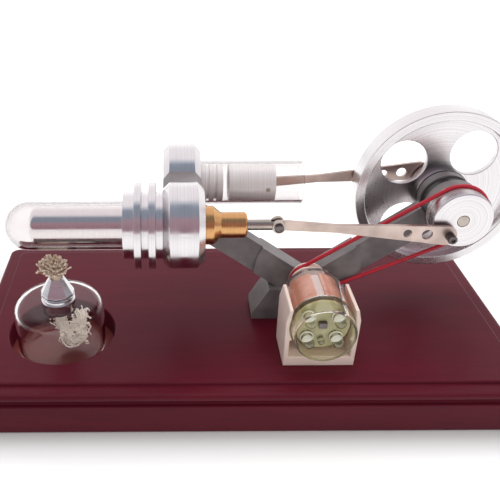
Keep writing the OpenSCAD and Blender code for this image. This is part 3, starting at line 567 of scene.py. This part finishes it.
def make_plinth(sizes):
    """The moulded wooden plinth with the round pocket for the burner."""
    low, high = low_high("wood_base")
    length, depth, height = (high - low) / MM
    fresh()
    bpy.ops.mesh.primitive_plane_add(size=1.0, location=ORIGIN)
    plinth = bpy.context.object
    edit_all()
    inset = 0.6
    bpy.ops.transform.resize(value=((length - 2 * inset) * MM, (depth - 2 * inset) * MM, 1.0))
    bpy.ops.mesh.bevel(offset=sizes.corner, segments=8, affect="VERTICES")
    panel = sizes.panel_inset / MM
    profile = [
        (0.5, 0.15), (1.0, 0.0), (13.2, 0.0), (13.7, 0.1), (14.0, 0.4), (14.15, 1.0), (14.25, 1.5),
        (14.8, 1.8), (15.5, 1.8), (16.1, 1.55), (16.5, 1.1), (16.75, 0.55), (17.1, 0.18), (17.6, 0.0),
        (18.3, 0.0), (18.9, 0.15), (19.35, 0.5), (19.65, 1.1), (19.8, 2.0), (19.85, panel - 0.5),
        (19.95, panel - 0.1), (20.3, panel), (20.7, panel + 0.05), (21.0, panel + 0.2),
        (21.2, panel + 0.5), (height, panel + 1.1),
    ]
    level = 0.0
    for rise, margin in profile:
        bpy.ops.mesh.extrude_region_move(
            TRANSFORM_OT_translate={"value": (0.0, 0.0, (rise - level) * MM)}
        )
        grow = [(side - 2 * margin) / (side - 2 * inset) for side in (length, depth)]
        bpy.ops.transform.resize(value=(*grow, 1.0))
        level, inset = rise, margin
    close_edit()
    floor, radius = height - sizes.pocket_depth / MM, sizes.pocket_radius / MM
    centre = (BURNER.x + sizes.pocket_shift, FRONT_LINE.y, 0.0)
    above = height + 3.0
    cutter = turned(centre, ALONG_Z, [
        (floor, 0.0), (floor, radius - 0.8), (floor + 0.25, radius - 0.2), (floor + 0.8, radius),
        (height - 0.9, radius), (height - 0.4, radius + 0.15), (height - 0.1, radius + 0.5),
        (height + 0.3, radius + 1.2), (above, radius + 1.2), (above, 0.0),
    ], steps=96)
    apply_modifier(plinth, "BOOLEAN", operation="DIFFERENCE", object=cutter, solver="EXACT")
    bpy.data.objects.remove(cutter)
    settle(plinth, "moulded_plinth", ("mahogany", "pocket"), "wood_base", ["wood_base"], 25.0)
    for face in plinth.data.polygons:
        if face.normal.z > 0.9 and abs(face.center.z - floor * MM) < 0.3 * MM:
            face.material_index = 1


# CAD nodes that keep their shape and get rounded edges: how wide, in millimetres, and the finish.
ROUNDED = {
    "cooler": (0.22, "front_aluminium"), "power_cylinder_head": (0.25, "rear_aluminium"),
    "brass_gland": (0.25, "brass"), "frame": (0.5, "casting"), "flywheel": (0.35, "wheel_aluminium"),
    "crank_pulley": (0.2, "wheel_aluminium"), "rear_crank_disc": (0.3, "wheel_aluminium"),
    "front_connecting_rod": (0.2, "strip"), "rear_connecting_rod": (0.2, "strip"),
    "generator_cradle": (0.4, "cream"), "power_piston": (0.3, "piston"),
    "crankshaft": (0.25, "steel"), "displacer_rod": (0.2, "steel"),
    "front_bearing_ring": (0.3, "rubber"), "rear_bearing_ring": (0.15, "rubber"),
    "power_cylinder_glass": (0.3, "tube_glass"), "generator_pulley": (0.2, "cream"),
}


def make_rounded():
    """Every machined, cast or moulded piece whose shape is kept, with its edges broken."""
    for node, (width, material) in ROUNDED.items():
        piece = rounded_copy(node, width)
        settle(piece, node + "_finished", material, node, [node])
        if node == "power_cylinder_head":
            finish_plug(piece)


def finish_plug(head):
    """Gives the plug that stands inside the power glass the satin finish of the piston."""
    seat, clear_of_glass = 2.2 * MM, 8.8 * MM
    head.data.materials.append(MATERIALS["piston"])
    plug_start = low_high("power_cylinder_glass")[0].x + seat
    for face in head.data.polygons:
        offset = face.center - REAR_LINE
        if face.center.x > plug_start and math.hypot(offset.y, offset.z) < clear_of_glass:
            face.material_index = 1


def make_displacer():
    """The bright hollow displacer, with a small rounding at each end."""
    length, radius = round_size("displacer", 0)
    centre = (low_high("displacer")[0].x, FRONT_LINE.y, FRONT_LINE.z)
    outline = [(0.0, 0.0), (0.0, radius - 3.0)] + rounding(2.4, radius - 2.4, 2.4, -90, 0)
    outline += [(length - 0.6, radius), (length - 0.15, radius - 0.2), (length, radius - 0.7), (length, 0.0)]
    displacer = turned(centre, ALONG_X, outline, steps=96)
    settle(displacer, "bright_displacer", "polished", "displacer", ["displacer"])


def make_screws():
    """The screws of the big ends and the headed pin of the displacer's fork."""
    rod, shank = 1.5, 1.5  # thickness of the rod, and radius of the screw inside it
    for node, toward in (("front_crank_screw", -1.0), ("rear_crank_screw", 1.0)):
        length, radius = round_size(node, 1)
        low, high = low_high(node)
        near = high.y if toward < 0 else low.y
        centre = ((low.x + high.x) / 2, near, (low.z + high.z) / 2)
        outline = [
            (0.0, 0.0), (0.0, shank), (rod, shank), (rod, radius - 0.25), (rod + 0.2, radius),
            (length - 0.45, radius), (length - 0.12, radius - 0.14), (length, radius - 0.5),
            (length, 0.95), (length - 0.9, 0.9), (length - 1.1, 0.0),
        ]
        screw = turned(centre, (0.0, toward, 0.0), outline, steps=36)
        settle(screw, node + "_finished", "dark_steel", node, [node])
    low, high = low_high("displacer_wrist_pin")
    centre = ((low.x + high.x) / 2, low.y, (low.z + high.z) / 2)
    length, head = round_size("displacer_wrist_pin", 1)
    end = [(0.0, 0.0), (0.0, head - 0.7), (0.12, head - 0.3), (0.4, head), (1.1, head), (1.2, head - 0.1)]
    end.append((1.2, 1.0))
    other_end = [(length - along, radius) for along, radius in reversed(end)]
    pin = turned(centre, ALONG_Y, end + other_end, steps=36)
    settle(pin, "fork_pin", "dark_steel", "displacer_wrist_pin", ["displacer_wrist_pin"])


MOUTH_DROP = 1.6  # the wick holder's mouth is this far below the top of its CAD node


def make_bottle():
    """The round glass bottle of the burner, with its wall and its open mouth."""
    height, radius = round_size("burner_bottle", 2)
    wall, mouth = 1.3, 6.25
    inside = radius - wall
    outer = [(0.9, 0.0), (0.5, radius * 0.5), (0.0, radius * 0.75)]
    outer += rounding(4.5, radius - 4.5, 4.5, -90, 0, 10)
    outer += rounding(height - 5.0, radius - 5.0, 5.0, 0, 90, 10)
    lip = [(height, mouth + 0.6), (height - 0.3, mouth), (height - wall, mouth + 0.1)]
    inner = rounding(wall + 3.2, inside - 3.2, 3.2, -90, 0, 10)
    inner += rounding(height - wall - 3.7, inside - 3.7, 3.7, 0, 90, 10)
    inner.reverse()
    outline = outer + lip + inner + [(wall + 0.8, 0.0)]
    centre = (BURNER.x, BURNER.y, low_high("burner_bottle")[0].z)
    bottle = turned(centre, ALONG_Z, outline, steps=96)
    settle(bottle, "glass_bottle", "glass", "burner_bottle", ["burner_bottle"], 60.0)


def make_wick_holder():
    """The bright holder: a turned ring in the bottle's mouth and a cone with flats above it."""
    low, high = low_high("wick_holder")
    centre = (BURNER.x, BURNER.y, low_high("burner_bottle")[1].z)
    top = (high.z - centre[2]) / MM - MOUTH_DROP
    wide = (high.x - low.x) / 2 / MM
    bore = 2.75
    tube = [
        (-5.9, bore), (-5.9, 5.9), (-5.6, 6.15), (-0.4, 6.15), (0.0, 6.2), (0.05, wide - 0.35),
        (0.3, wide - 0.1), (0.8, wide - 0.1), (1.05, wide - 0.4), (1.2, wide - 0.9), (2.0, wide - 1.0),
        (2.5, wide - 0.7), (2.8, wide - 0.4), (3.2, wide - 0.2), (3.4, wide - 0.5), (3.5, bore),
        (-5.9, bore),
    ]
    ring = turned(centre, ALONG_Z, tube, steps=64)
    cone = [
        (3.1, bore), (3.1, wide - 0.9), (3.6, wide - 0.25), (4.4, wide - 0.05), (5.2, wide - 0.45),
        (top - 0.7, 3.75), (top - 0.2, 3.4), (top, 3.0), (top, bore), (3.1, bore),
    ]
    flats = turned(centre, ALONG_Z, cone, steps=11, start=12.0)
    soften(flats, 0.18, 20.0)
    holder = join([ring, flats])
    settle(holder, "wick_holder_finished", "holder", "wick_holder", ["wick_holder"], 20.0)


def strands(name, paths, thickness):
    """One mesh of many threads, each along its own path of points with a width for each."""
    fresh()
    curve = bpy.data.curves.new(name, "CURVE")
    curve.dimensions = "3D"
    curve.resolution_u = 3
    curve.bevel_resolution = 1
    curve.bevel_depth = thickness * MM
    curve.use_fill_caps = True
    for path in paths:
        spline = curve.splines.new("BEZIER")
        spline.bezier_points.add(len(path) - 1)
        for knot, (place, width) in zip(spline.bezier_points, path):
            knot.co = place
            knot.radius = width
            knot.handle_left_type = knot.handle_right_type = "AUTO"
    take(new_object(name, curve))
    bpy.ops.object.convert(target="MESH")
    piece = bpy.context.object
    edit_all()
    close_edit(FINE_WELD)
    return piece


WICK_BUNDLE = 2.4  # radius of the wick in its holder
# The points of a wick thread: how far out, from 0 in the bundle to 1 at its full reach, and how far
# up, from 0 at the holder's mouth to 1 at its tip. The first is this many millimetres below the mouth.
WICK_POINTS = ((0.0, -5.0), (0.0, 0.1), (0.1, 0.42), (0.55, 0.78), (1.0, 1.0))


def wick_thread(sizes, dice, index, mouth, tip):
    """The path of one wick thread, which leaves the bundle and splays outwards."""
    x, y = BURNER.x / MM, BURNER.y / MM
    turn = index * GOLDEN_TURN
    share = math.sqrt((index + 0.5) / sizes.wick_threads)
    reach = 1.2 + 6.6 * share * dice.uniform(0.75, 1.05)
    rise = (tip - mouth - 0.5) * (1.0 - 0.5 * share ** 2.4) * dice.uniform(0.78, 1.0)
    path = []
    for step, (out, up) in enumerate(WICK_POINTS):
        sway = dice.uniform(-0.5, 0.5) * (step > 1)
        radius = WICK_BUNDLE * share + (reach - WICK_BUNDLE * share) * out
        height = mouth + (up if step < 1 else rise * up) + dice.uniform(-0.5, 0.3) * (step > 2)
        angle = turn + sway * 0.6
        lean = -0.9 * out
        spot = Vector((x + lean + radius * math.cos(angle), y + radius * math.sin(angle), height))
        path.append((spot * MM, dice.uniform(0.8, 1.25)))
    return path


def make_wick(sizes, dice):
    """A cotton wick with a frayed head."""
    low, high = low_high("burner_wick")
    mouth = low_high("wick_holder")[1].z / MM - MOUTH_DROP
    paths = [wick_thread(sizes, dice, index, mouth, high.z / MM) for index in range(sizes.wick_threads)]
    threads = strands("wick_threads", paths, 0.42)
    above = mouth - low.z / MM
    core = turned((BURNER.x, BURNER.y, low.z), ALONG_Z, [
        (7.0, 0.0), (7.0, 1.6), (7.8, 2.3), (above + 1.5, 2.3), (above + 3.0, 1.6), (above + 3.8, 0.0),
    ], steps=24)
    settle(join([threads, core]), "frayed_wick", "wick", "burner_wick", ["burner_wick"], 60.0)


COTTON_FLOOR = 2.6  # the loose cotton rests this far above the bottle's underside
THREAD_ROOM = 0.4  # and the middle of a thread stays this far above that
# The line that the loose cotton follows from the wick down, to the right and up again: how far
# right of the wick, how far back, how high above the cotton's floor, and how wide it spreads.
TUFT = (
    (-0.4, 0.3, 17.5, 1.0), (0.2, 0.2, 13.5, 1.15), (1.2, 0.0, 10.0, 1.4), (3.0, -1.2, 6.8, 2.0),
    (5.0, -2.4, 5.0, 2.6), (6.8, -1.8, 6.2, 2.8), (7.6, -0.4, 8.6, 2.3), (8.2, 1.2, 11.4, 1.8),
    (9.0, 2.6, 13.8, 1.1),
)


def cotton_thread(sizes, dice, index, floor):
    """The path of one long thread that follows the whole tuft."""
    x, y = BURNER.x / MM, BURNER.y / MM
    turn = index * GOLDEN_TURN
    share = math.sqrt((index + 0.25) / sizes.cotton_threads)
    path = []
    for step, (right, back, up, fat) in enumerate(TUFT):
        angle = turn + step * 0.8 + dice.uniform(-0.9, 0.9)
        out = 2.0 * fat * share * dice.uniform(0.3, 1.2)
        spot = Vector((
            x + right + out * math.cos(angle), y + back + out * math.sin(angle) * 0.8,
            floor + up + out * math.sin(angle) * 0.5,
        ))
        spot += Vector([dice.uniform(-0.6, 0.6) for _ in range(3)])
        spot.z = max(spot.z, floor + THREAD_ROOM)
        path.append((spot * MM, dice.uniform(0.8, 1.3)))
    return path


def cotton_fibre(dice, floor):
    """The path of one short fibre that strays from the tuft."""
    x, y = BURNER.x / MM, BURNER.y / MM
    right, back, up, fat = TUFT[dice.randrange(2, len(TUFT))]
    turn = dice.uniform(0.0, math.tau)
    out = fat * dice.uniform(0.6, 1.75)
    spot = Vector((
        x + right + out * math.cos(turn), y + back + 0.8 * out * math.sin(turn),
        floor + up + dice.uniform(-1.6, 1.6),
    ))
    path = []
    for _ in range(5):
        spot = spot + Vector([dice.uniform(-reach, reach) for reach in (1.3, 1.0, 1.3)])
        spot.z = max(spot.z, floor + THREAD_ROOM)
        path.append((spot * MM, dice.uniform(0.5, 1.0)))
    return path


def make_cotton(sizes, dice):
    """The loose cotton in the bottle, as long threads and short fibres."""
    floor = low_high("burner_bottle")[0].z / MM + COTTON_FLOOR
    paths = [cotton_thread(sizes, dice, index, floor) for index in range(sizes.cotton_threads)]
    paths += [cotton_fibre(dice, floor) for _ in range(sizes.cotton_fibres)]
    cotton = strands("cotton_threads", paths, 0.36)
    settle(cotton, "loose_cotton", "cotton", "burner_cotton", ["burner_cotton"], 60.0)


def make_windings():
    """The pale core of the generator and the three copper coils on it."""
    length, radius = round_size("generator_coils", 1)
    centre = (GENERATOR.x, low_high("generator_coils")[0].y, GENERATOR.z)
    bore, end = 4.2, length - 0.6
    core = turned(centre, ALONG_Y, [
        (0.6, bore), (0.6, radius - 1.0), (0.9, radius - 0.7), (length - 0.9, radius - 0.7),
        (end, radius - 1.0), (end, bore), (0.6, bore),
    ], steps=72)
    settle(core, "stator_core", "silver_band", "generator_coils", ["generator_coils"])
    coil = turned(centre, ALONG_Y, [
        (0.0, radius - 2.4), (0.0, radius - 0.6), (0.5, radius - 0.05), (length - 0.5, radius - 0.05),
        (length, radius - 0.6), (length, radius - 2.4), (0.0, radius - 2.4),
    ], steps=28, sweep=104.0, start=-11.0)
    take(coil)
    edit_all()
    bpy.ops.mesh.select_all(action="DESELECT")
    bpy.ops.mesh.select_non_manifold()
    bpy.ops.mesh.fill_holes(sides=0)
    close_edit()
    soften(coil, 0.35, 50.0)
    there, back = Matrix.Translation(centre), Matrix.Translation(-Vector(centre))
    turns = [Matrix.Rotation(math.radians(degrees), 4, ALONG_Y) for degrees in (120.0, 240.0)]
    coils = [coil] + [copied(coil, there @ turn @ back) for turn in turns]
    settle(join(coils), "copper_windings", "copper", "generator_coils")


def make_case():
    """The clear case round the windings, and the clear cap in front of the lamps, whose tint is a painted
    reflection of the green board.
    """
    length, radius = round_size("generator_case", 1)
    case = turned((GENERATOR.x, low_high("generator_case")[0].y, GENERATOR.z), ALONG_Y, [
        (0.0, radius - 1.2), (0.0, radius - 0.3), (0.3, radius), (length - 0.9, radius),
        (length - 0.25, radius - 0.3), (length, radius - 0.9), (length, 1.05), (length - 1.1, 1.05),
        (length - 1.2, radius - 1.6), (length - 1.6, radius - 1.2), (0.0, radius - 1.2),
    ], steps=96)
    settle(case, "clear_case", "plastic", "generator_case", ["generator_case"], 60.0)
    length, radius = round_size("led_cap", 1)
    cap = turned((GENERATOR.x, low_high("led_cap")[1].y, GENERATOR.z), TO_FRONT, [
        (0.0, 0.0), (0.0, radius - 0.5), (0.3, radius - 0.05), (1.2, radius), (1.6, radius - 0.25),
        (length - 1.5, radius - 0.5), (length - 0.5, radius - 0.5), (length - 0.12, radius - 0.75),
        (length, radius - 1.15), (length - 0.15, radius - 1.5), (length - 0.6, radius - 1.65),
        (1.5, radius - 1.6), (1.2, radius - 2.0), (1.2, 0.0),
    ], steps=96)
    # The cap's tint is a painted reflection of the board.
    settle(cap, "clear_cap", "cap_plastic", "led_cap", ["led_cap"], 60.0)


def make_lamp_board():
    """The round board, and a dark block at its top middle that stands in for the shade in the board's slot.
    """
    settle(rounded_copy("led_board", 0.15), "lamp_board", "board", "led_board", ["led_board"])
    x, y, z = GENERATOR.x / MM, low_high("led_board")[0].y / MM, GENERATOR.z / MM
    # A dark block put where the board's slot shows only shade: painted shade.
    socket = block((x - 1.7, y - 2.2, z - 0.2), (x + 1.7, y, z + 2.4), 0.3)
    settle(socket, "board_slot_shade", "dark_steel", "led_board")


LED_NODES = ("led_upper_left", "led_upper_right", "led_lower_left", "led_lower_right")


def make_clear_lamps():
    """Four clear lamps with their cups and a white ring round each lens's shoulder that is a painted
    highlight, modelled once at the origin and copied, and a small dome.
    """
    length, radius = round_size(LED_NODES[0], 1)
    dome = radius - 0.3
    outline = [(0.0, 0.0), (0.0, radius), (0.9, radius), (1.0, radius - 0.12), (1.0, dome)]
    outline += rounding(length - dome, 0.0, dome, 0, 90)
    lens = turned(ORIGIN, TO_FRONT, outline, steps=36)
    bowl = turned(ORIGIN, TO_FRONT, [
        (0.4, 0.0), (0.4, 0.7), (1.5, 0.8), (2.6, 1.7), (2.7, 1.7), (1.7, 0.6), (1.6, 0.0),
    ], steps=24)
    # This white ring round each lens's shoulder is a painted highlight.
    painted_highlight_ring = turned(ORIGIN, TO_FRONT, [
        (1.0, radius - 0.28), (1.0, radius - 0.02), (1.3, radius), (1.5, radius - 0.1),
        (1.6, radius - 0.28), (1.0, radius - 0.28),
    ], steps=36)
    cup_and_highlight_ring = join([bowl, painted_highlight_ring])
    for node in LED_NODES:
        low, high = low_high(node)
        move = Matrix.Translation(((low.x + high.x) / 2, high.y, (low.z + high.z) / 2))
        settle(copied(lens, move), node + "_lens", "resin", node, [node], 60.0)
        # Each copy of the cups carries a white ring that is a painted highlight.
        settle(copied(cup_and_highlight_ring, move), node + "_cup", "lamp_cup", node)
    for pattern in (lens, cup_and_highlight_ring):
        bpy.data.objects.remove(pattern)
    spot = (GENERATOR.x - 0.2 * MM, low_high("led_board")[0].y, GENERATOR.z - 6.2 * MM)
    outline = [(0.0, 0.0), (0.0, 1.7), (0.5, 1.7), (0.5, 1.5)] + rounding(2.6, 0.0, 1.5, 0, 90)
    settle(turned(spot, TO_FRONT, outline, steps=30), "small_lamp", "resin", "led_board", angle=60.0)


# ---- stage ----


# The room as bright metal shows it, by the angle from straight up towards the front, in degrees.
ROOM = (
    (-180, (0.8, 0.79, 0.79)), (-75, (0.85, 0.84, 0.84)), (-50, (0.74, 0.71, 0.73)),
    (-9, (0.72, 0.69, 0.71)), (2, (0.42, 0.45, 0.5)), (10, (0.2, 0.23, 0.28)), (38, (0.2, 0.22, 0.27)),
    (46, (0.3, 0.2, 0.23)), (80, (0.24, 0.15, 0.18)), (88, (0.88, 0.86, 0.87)), (180, (0.85, 0.84, 0.84)),
)
LAMP_TARGET = Vector((0.0, 0.0, 0.04))
WHITE = (1.0, 1.0, 1.0, 1.0)


def make_world(stage):
    """Plain white light, with the ceiling and the darker side of the room that bright metal shows."""
    world = bpy.data.worlds.new("Studio")
    bpy.context.scene.world = world
    world.use_nodes = True
    tree = world.node_tree
    tree.nodes.clear()
    way = add(tree, "ShaderNodeTexCoord").outputs["Generated"]
    parts = add(tree, "ShaderNodeSeparateXYZ", {0: way}).outputs
    turn = maths(tree, "ARCTAN2", maths(tree, "MULTIPLY", parts["Y"], -1.0), parts["Z"])
    ramp = add(tree, "ShaderNodeValToRGB", {0: spread(tree, turn, -math.pi, math.pi)})
    bands = ramp.color_ramp
    bands.interpolation = "EASE"
    while len(bands.elements) < len(ROOM):
        bands.elements.new(0.5)
    for element, (degrees, tint) in zip(bands.elements, ROOM):
        element.position = (degrees + 180) / 360
        element.color = (*tint, 1.0)
    room, lighting, seen = (
        add(tree, "ShaderNodeBackground", {"Color": colour, "Strength": strength}).outputs[0]
        for colour, strength in (
            (ramp.outputs["Color"], stage.mirror_strength),
            ((*stage.sky_colour, 1.0), stage.sky_strength),
            (WHITE, 1.0),
        )
    )
    rays = add(tree, "ShaderNodeLightPath").outputs
    direct = maths(tree, "MAXIMUM", rays["Is Camera Ray"], rays["Is Transmission Ray"])
    light = mix_shaders(tree, rays["Is Glossy Ray"], lighting, room)
    out = add(tree, "ShaderNodeOutputWorld")
    tree.links.new(mix_shaders(tree, direct, light, seen), out.inputs["Surface"])


def make_floor(stage):
    """A wide pale floor that keeps the engine's shadow, with a painted glow that grows with the distance from
    the plinth: the floor close to it keeps a painted shade and turns white further away.
    """
    bpy.ops.mesh.primitive_plane_add(size=8.0, location=ORIGIN)
    floor = bpy.context.object
    floor.name = "studio_floor"
    material, tree, shader = new_material(
        "pale_floor", (0.8, 0.8, 0.8), Roughness=0.9, Specular_IOR_Level=0.0
    )
    rays = add(tree, "ShaderNodeLightPath").outputs
    direct = maths(tree, "MAXIMUM", rays["Is Camera Ray"], rays["Is Transmission Ray"])
    mirrored = maths(tree, "SUBTRACT", rays["Is Glossy Ray"], rays["Is Transmission Ray"])
    place = add(tree, "ShaderNodeTexCoord").outputs["Object"]
    offset = add(tree, "ShaderNodeVectorMath", {0: place}, operation="ABSOLUTE").outputs["Vector"]
    parts = add(tree, "ShaderNodeSeparateXYZ", {0: offset}).outputs
    edge = low_high("wood_base")[1]
    past_end = maths(tree, "SUBTRACT", parts["X"], edge.x)
    past_front = maths(tree, "SUBTRACT", parts["Y"], edge.y)
    beyond = maths(tree, "MAXIMUM", past_end, past_front)
    # Painted light: the floor's glow grows from 3 mm past the plinth, which leaves a painted shade close to
    # it, and from 20 mm on it turns white.
    near = spread(tree, beyond, 0.003, 0.022, 0.0, stage.floor_lift)
    far = spread(tree, beyond, 0.02, 0.4, 0.0, 0.4)
    seen = maths(tree, "MULTIPLY", direct, maths(tree, "ADD", near, far))
    in_metal = maths(tree, "MULTIPLY", mirrored, stage.mirror_lift)
    shader.inputs["Emission Color"].default_value = WHITE
    tree.links.new(maths(tree, "ADD", seen, in_metal), shader.inputs["Emission Strength"])
    floor.data.materials.append(material)


def make_lamps(stage):
    """Two large soft lamps, one above and behind, one above at the front right."""
    for name, place, size, power in (
        ("overhead_lamp", (0.1, 0.35, 0.95), 1.1, stage.overhead_power),
        ("front_lamp", (0.75, -0.7, 0.8), 0.9, stage.front_power),
    ):
        light = bpy.data.lights.new(name, "AREA")
        light.shape = "SQUARE"
        light.size = size
        light.energy = power
        lamp = new_object(name, light)
        lamp.location = place
        lamp.visible_glossy = False
        lamp.rotation_euler = (LAMP_TARGET - Vector(place)).to_track_quat("-Z", "Y").to_euler()


def make_camera(stage):
    """The camera, in front of the engine's left half and looking down on it."""
    data = bpy.data.cameras.new("front_view")
    data.sensor_width = 36.0
    data.lens = stage.lens
    data.shift_x = stage.shift_right
    data.shift_y = stage.shift_up
    data.clip_start = 0.01
    camera = new_object("front_view", data)
    camera.location = stage.camera_place
    turn = Matrix.Rotation(stage.camera_turn, 3, "Z")
    tilt = Matrix.Rotation(math.radians(90.0) - stage.camera_tilt, 3, "X")
    roll = Matrix.Rotation(stage.camera_roll, 3, "Z")
    camera.rotation_euler = (turn @ tilt @ roll).to_euler()
    bpy.context.scene.camera = camera


# ---- settings ----


def colour_setting(name, description, default):
    """A colour that a user can change."""
    return FloatVectorProperty(
        name=name, description=description, subtype="COLOR", default=default, min=0.0, max=1.0
    )


def size_setting(name, description, default, least=0.0):
    """A length that a user can change."""
    return FloatProperty(name=name, description=description, default=default, min=least, unit="LENGTH")


def amount_setting(name, description, default, unit="NONE"):
    """A strength or power that a user can change."""
    return FloatProperty(name=name, description=description, default=default, min=0.0, unit=unit)


def angle_setting(name, description, degrees):
    """An angle that a user can change."""
    return FloatProperty(
        name=name, description=description, default=math.radians(degrees), unit="ROTATION"
    )


class StageSettings(bpy.types.PropertyGroup):
    """Light, floor and camera"""

    sky_strength: amount_setting("Sky Strength", "Strength of the light from all round", 0.6)
    sky_colour: colour_setting("Sky Colour", "Colour of the light from all round", (1.0, 0.985, 0.985))
    overhead_power: amount_setting("Overhead Power", "Power of the lamp above and behind", 7.5, "POWER")
    front_power: amount_setting("Front Power", "Power of the lamp at the front right", 3.0, "POWER")
    mirror_strength: amount_setting("Mirror Strength", "Brightness of the room in bright metal", 1.45)
    mirror_lift: amount_setting(
        "Mirror Lift", "How much paler than lit the floor looks in bright metal", 0.35
    )
    # The floor's painted glow past the plinth, which leaves a painted shade near it.
    floor_lift: amount_setting(
        "Floor Lift", "How much paler than lit the floor looks past the plinth's shadow", 0.35
    )
    camera_place: FloatVectorProperty(
        name="Camera Place", description="Where the camera stands",
        default=(-0.03349, -0.26327, 0.20793), unit="LENGTH",
    )
    camera_tilt: angle_setting("Camera Tilt", "How far the camera looks down", 29.99)
    camera_turn: angle_setting("Camera Turn", "How far the camera turns to the left", -0.08)
    camera_roll: angle_setting("Camera Roll", "How far the camera leans to the left", -0.27)
    lens: FloatProperty(
        name="Lens", description="Focal length of the camera in millimetres", default=49.243, min=1.0
    )
    shift_right: FloatProperty(
        name="Shift Right", description="Sideways shift of the camera", default=0.1635
    )
    shift_up: FloatProperty(name="Shift Up", description="Upward shift of the camera", default=-0.0127)


class FinishColours(bpy.types.PropertyGroup):
    """Colours of the finishes"""

    wood: colour_setting("Wood", "Stained wood of the plinth", (0.082, 0.006, 0.0155))
    aluminium: colour_setting("Aluminium", "Turned cooler and cylinder heads", (0.79, 0.765, 0.775))
    brass: colour_setting("Brass", "Gland round the displacer's rod", (0.7, 0.385, 0.165))
    casting: colour_setting("Casting", "Grey frame", (0.13, 0.112, 0.116))
    belt: colour_setting("Belt", "Round drive belt", (0.5, 0.01, 0.03))
    cream: colour_setting("Cream Plastic", "Generator's cradle and pulley", (0.82, 0.65, 0.58))
    copper: colour_setting("Copper", "Generator's coils", (0.62, 0.24, 0.15))
    board: colour_setting("Board", "Lamp board", (0.46, 0.43, 0.24))


class PieceSizes(bpy.types.PropertyGroup):
    """Sizes of the pieces"""

    corner: size_setting("Plinth Corner", "Corner radius of the plinth", 0.004, 0.001)
    panel_inset: size_setting("Panel Inset", "Width of the ledge round the top panel", 0.0062, 0.003)
    pocket_radius: size_setting("Pocket Radius", "Radius of the burner's pocket", 0.0235, 0.02)
    pocket_depth: size_setting("Pocket Depth", "Depth of the burner's pocket", 0.01, 0.004)
    pocket_shift: size_setting(
        "Pocket Shift", "How far the pocket's middle is to the right of the burner", 0.0005, -0.001
    )
    wick_threads: IntProperty(
        name="Wick Threads", description="Number of threads in the frayed wick", default=90, min=10
    )
    cotton_threads: IntProperty(
        name="Cotton Threads", description="Number of long threads in the loose cotton", default=42, min=4
    )
    cotton_fibres: IntProperty(
        name="Cotton Fibres", description="Number of short fibres that stray from it", default=168, min=0
    )


# ---- operators ----


class ENGINE_OT_stage(bpy.types.Operator):
    """Set up the floor, the light and the camera"""

    bl_idname = "engine.stage"
    bl_label = "Stage"

    def execute(self, context):
        stage = context.scene.engine_stage
        make_world(stage)
        make_floor(stage)
        make_lamps(stage)
        make_camera(stage)
        context.scene.view_settings.view_transform = "Standard"
        return {"FINISHED"}


class ENGINE_OT_finishes(bpy.types.Operator):
    """Make the finishes and give each kept piece its own"""

    bl_idname = "engine.finishes"
    bl_label = "Finishes"

    def execute(self, context):
        make_materials(context.scene.engine_colours)
        for key, names in KEPT_NODES.items():
            for name in names:
                for slot in NODES[name].material_slots:
                    slot.material = MATERIALS[key]
        return {"FINISHED"}


class ENGINE_OT_plinth(bpy.types.Operator):
    """Make the moulded wooden plinth"""

    bl_idname = "engine.plinth"
    bl_label = "Plinth"

    def execute(self, context):
        make_plinth(context.scene.engine_sizes)
        return {"FINISHED"}


class ENGINE_OT_metalwork(bpy.types.Operator):
    """Break the edges of the machined, cast and moulded pieces, and make the displacer"""

    bl_idname = "engine.metalwork"
    bl_label = "Metalwork"

    def execute(self, context):
        make_rounded()
        make_displacer()
        return {"FINISHED"}


class ENGINE_OT_screws(bpy.types.Operator):
    """Make the screws and the fork pin"""

    bl_idname = "engine.screws"
    bl_label = "Screws"

    def execute(self, context):
        make_screws()
        return {"FINISHED"}


class ENGINE_OT_burner(bpy.types.Operator):
    """Make the spirit burner with its wick and cotton"""

    bl_idname = "engine.burner"
    bl_label = "Spirit Burner"

    def execute(self, context):
        sizes = context.scene.engine_sizes
        dice = random.Random(SEED)
        make_bottle()
        make_wick_holder()
        make_wick(sizes, dice)
        make_cotton(sizes, dice)
        return {"FINISHED"}


class ENGINE_OT_generator(bpy.types.Operator):
    """Make the windings, the clear case and the board with its lamps"""

    bl_idname = "engine.generator"
    bl_label = "Generator"

    def execute(self, context):
        make_windings()
        make_case()
        make_lamp_board()
        make_clear_lamps()
        return {"FINISHED"}


OPERATORS = (
    ENGINE_OT_stage, ENGINE_OT_finishes, ENGINE_OT_plinth, ENGINE_OT_metalwork, ENGINE_OT_screws,
    ENGINE_OT_burner, ENGINE_OT_generator,
)


class ENGINE_PT_panel(bpy.types.Panel):
    """Every step of the engine's looks, in order"""

    bl_label = "Hot-Air Engine"
    bl_idname = "ENGINE_PT_panel"
    bl_space_type = "VIEW_3D"
    bl_region_type = "UI"
    bl_category = "Hot-Air Engine"

    def draw(self, context):
        for step in OPERATORS:
            self.layout.operator(step.bl_idname)


SETTINGS = {"engine_stage": StageSettings, "engine_colours": FinishColours, "engine_sizes": PieceSizes}
CLASSES = (*SETTINGS.values(), *OPERATORS, ENGINE_PT_panel)


def register():
    for item in CLASSES:
        bpy.utils.register_class(item)
    for name, group in SETTINGS.items():
        setattr(bpy.types.Scene, name, PointerProperty(type=group))


def unregister():
    for name in SETTINGS:
        delattr(bpy.types.Scene, name)
    for item in reversed(CLASSES):
        bpy.utils.unregister_class(item)


def main():
    register()
    for step in OPERATORS:
        area, name = step.bl_idname.split(".")
        getattr(getattr(bpy.ops, area), name)()


if __name__ == "__main__":
    main()
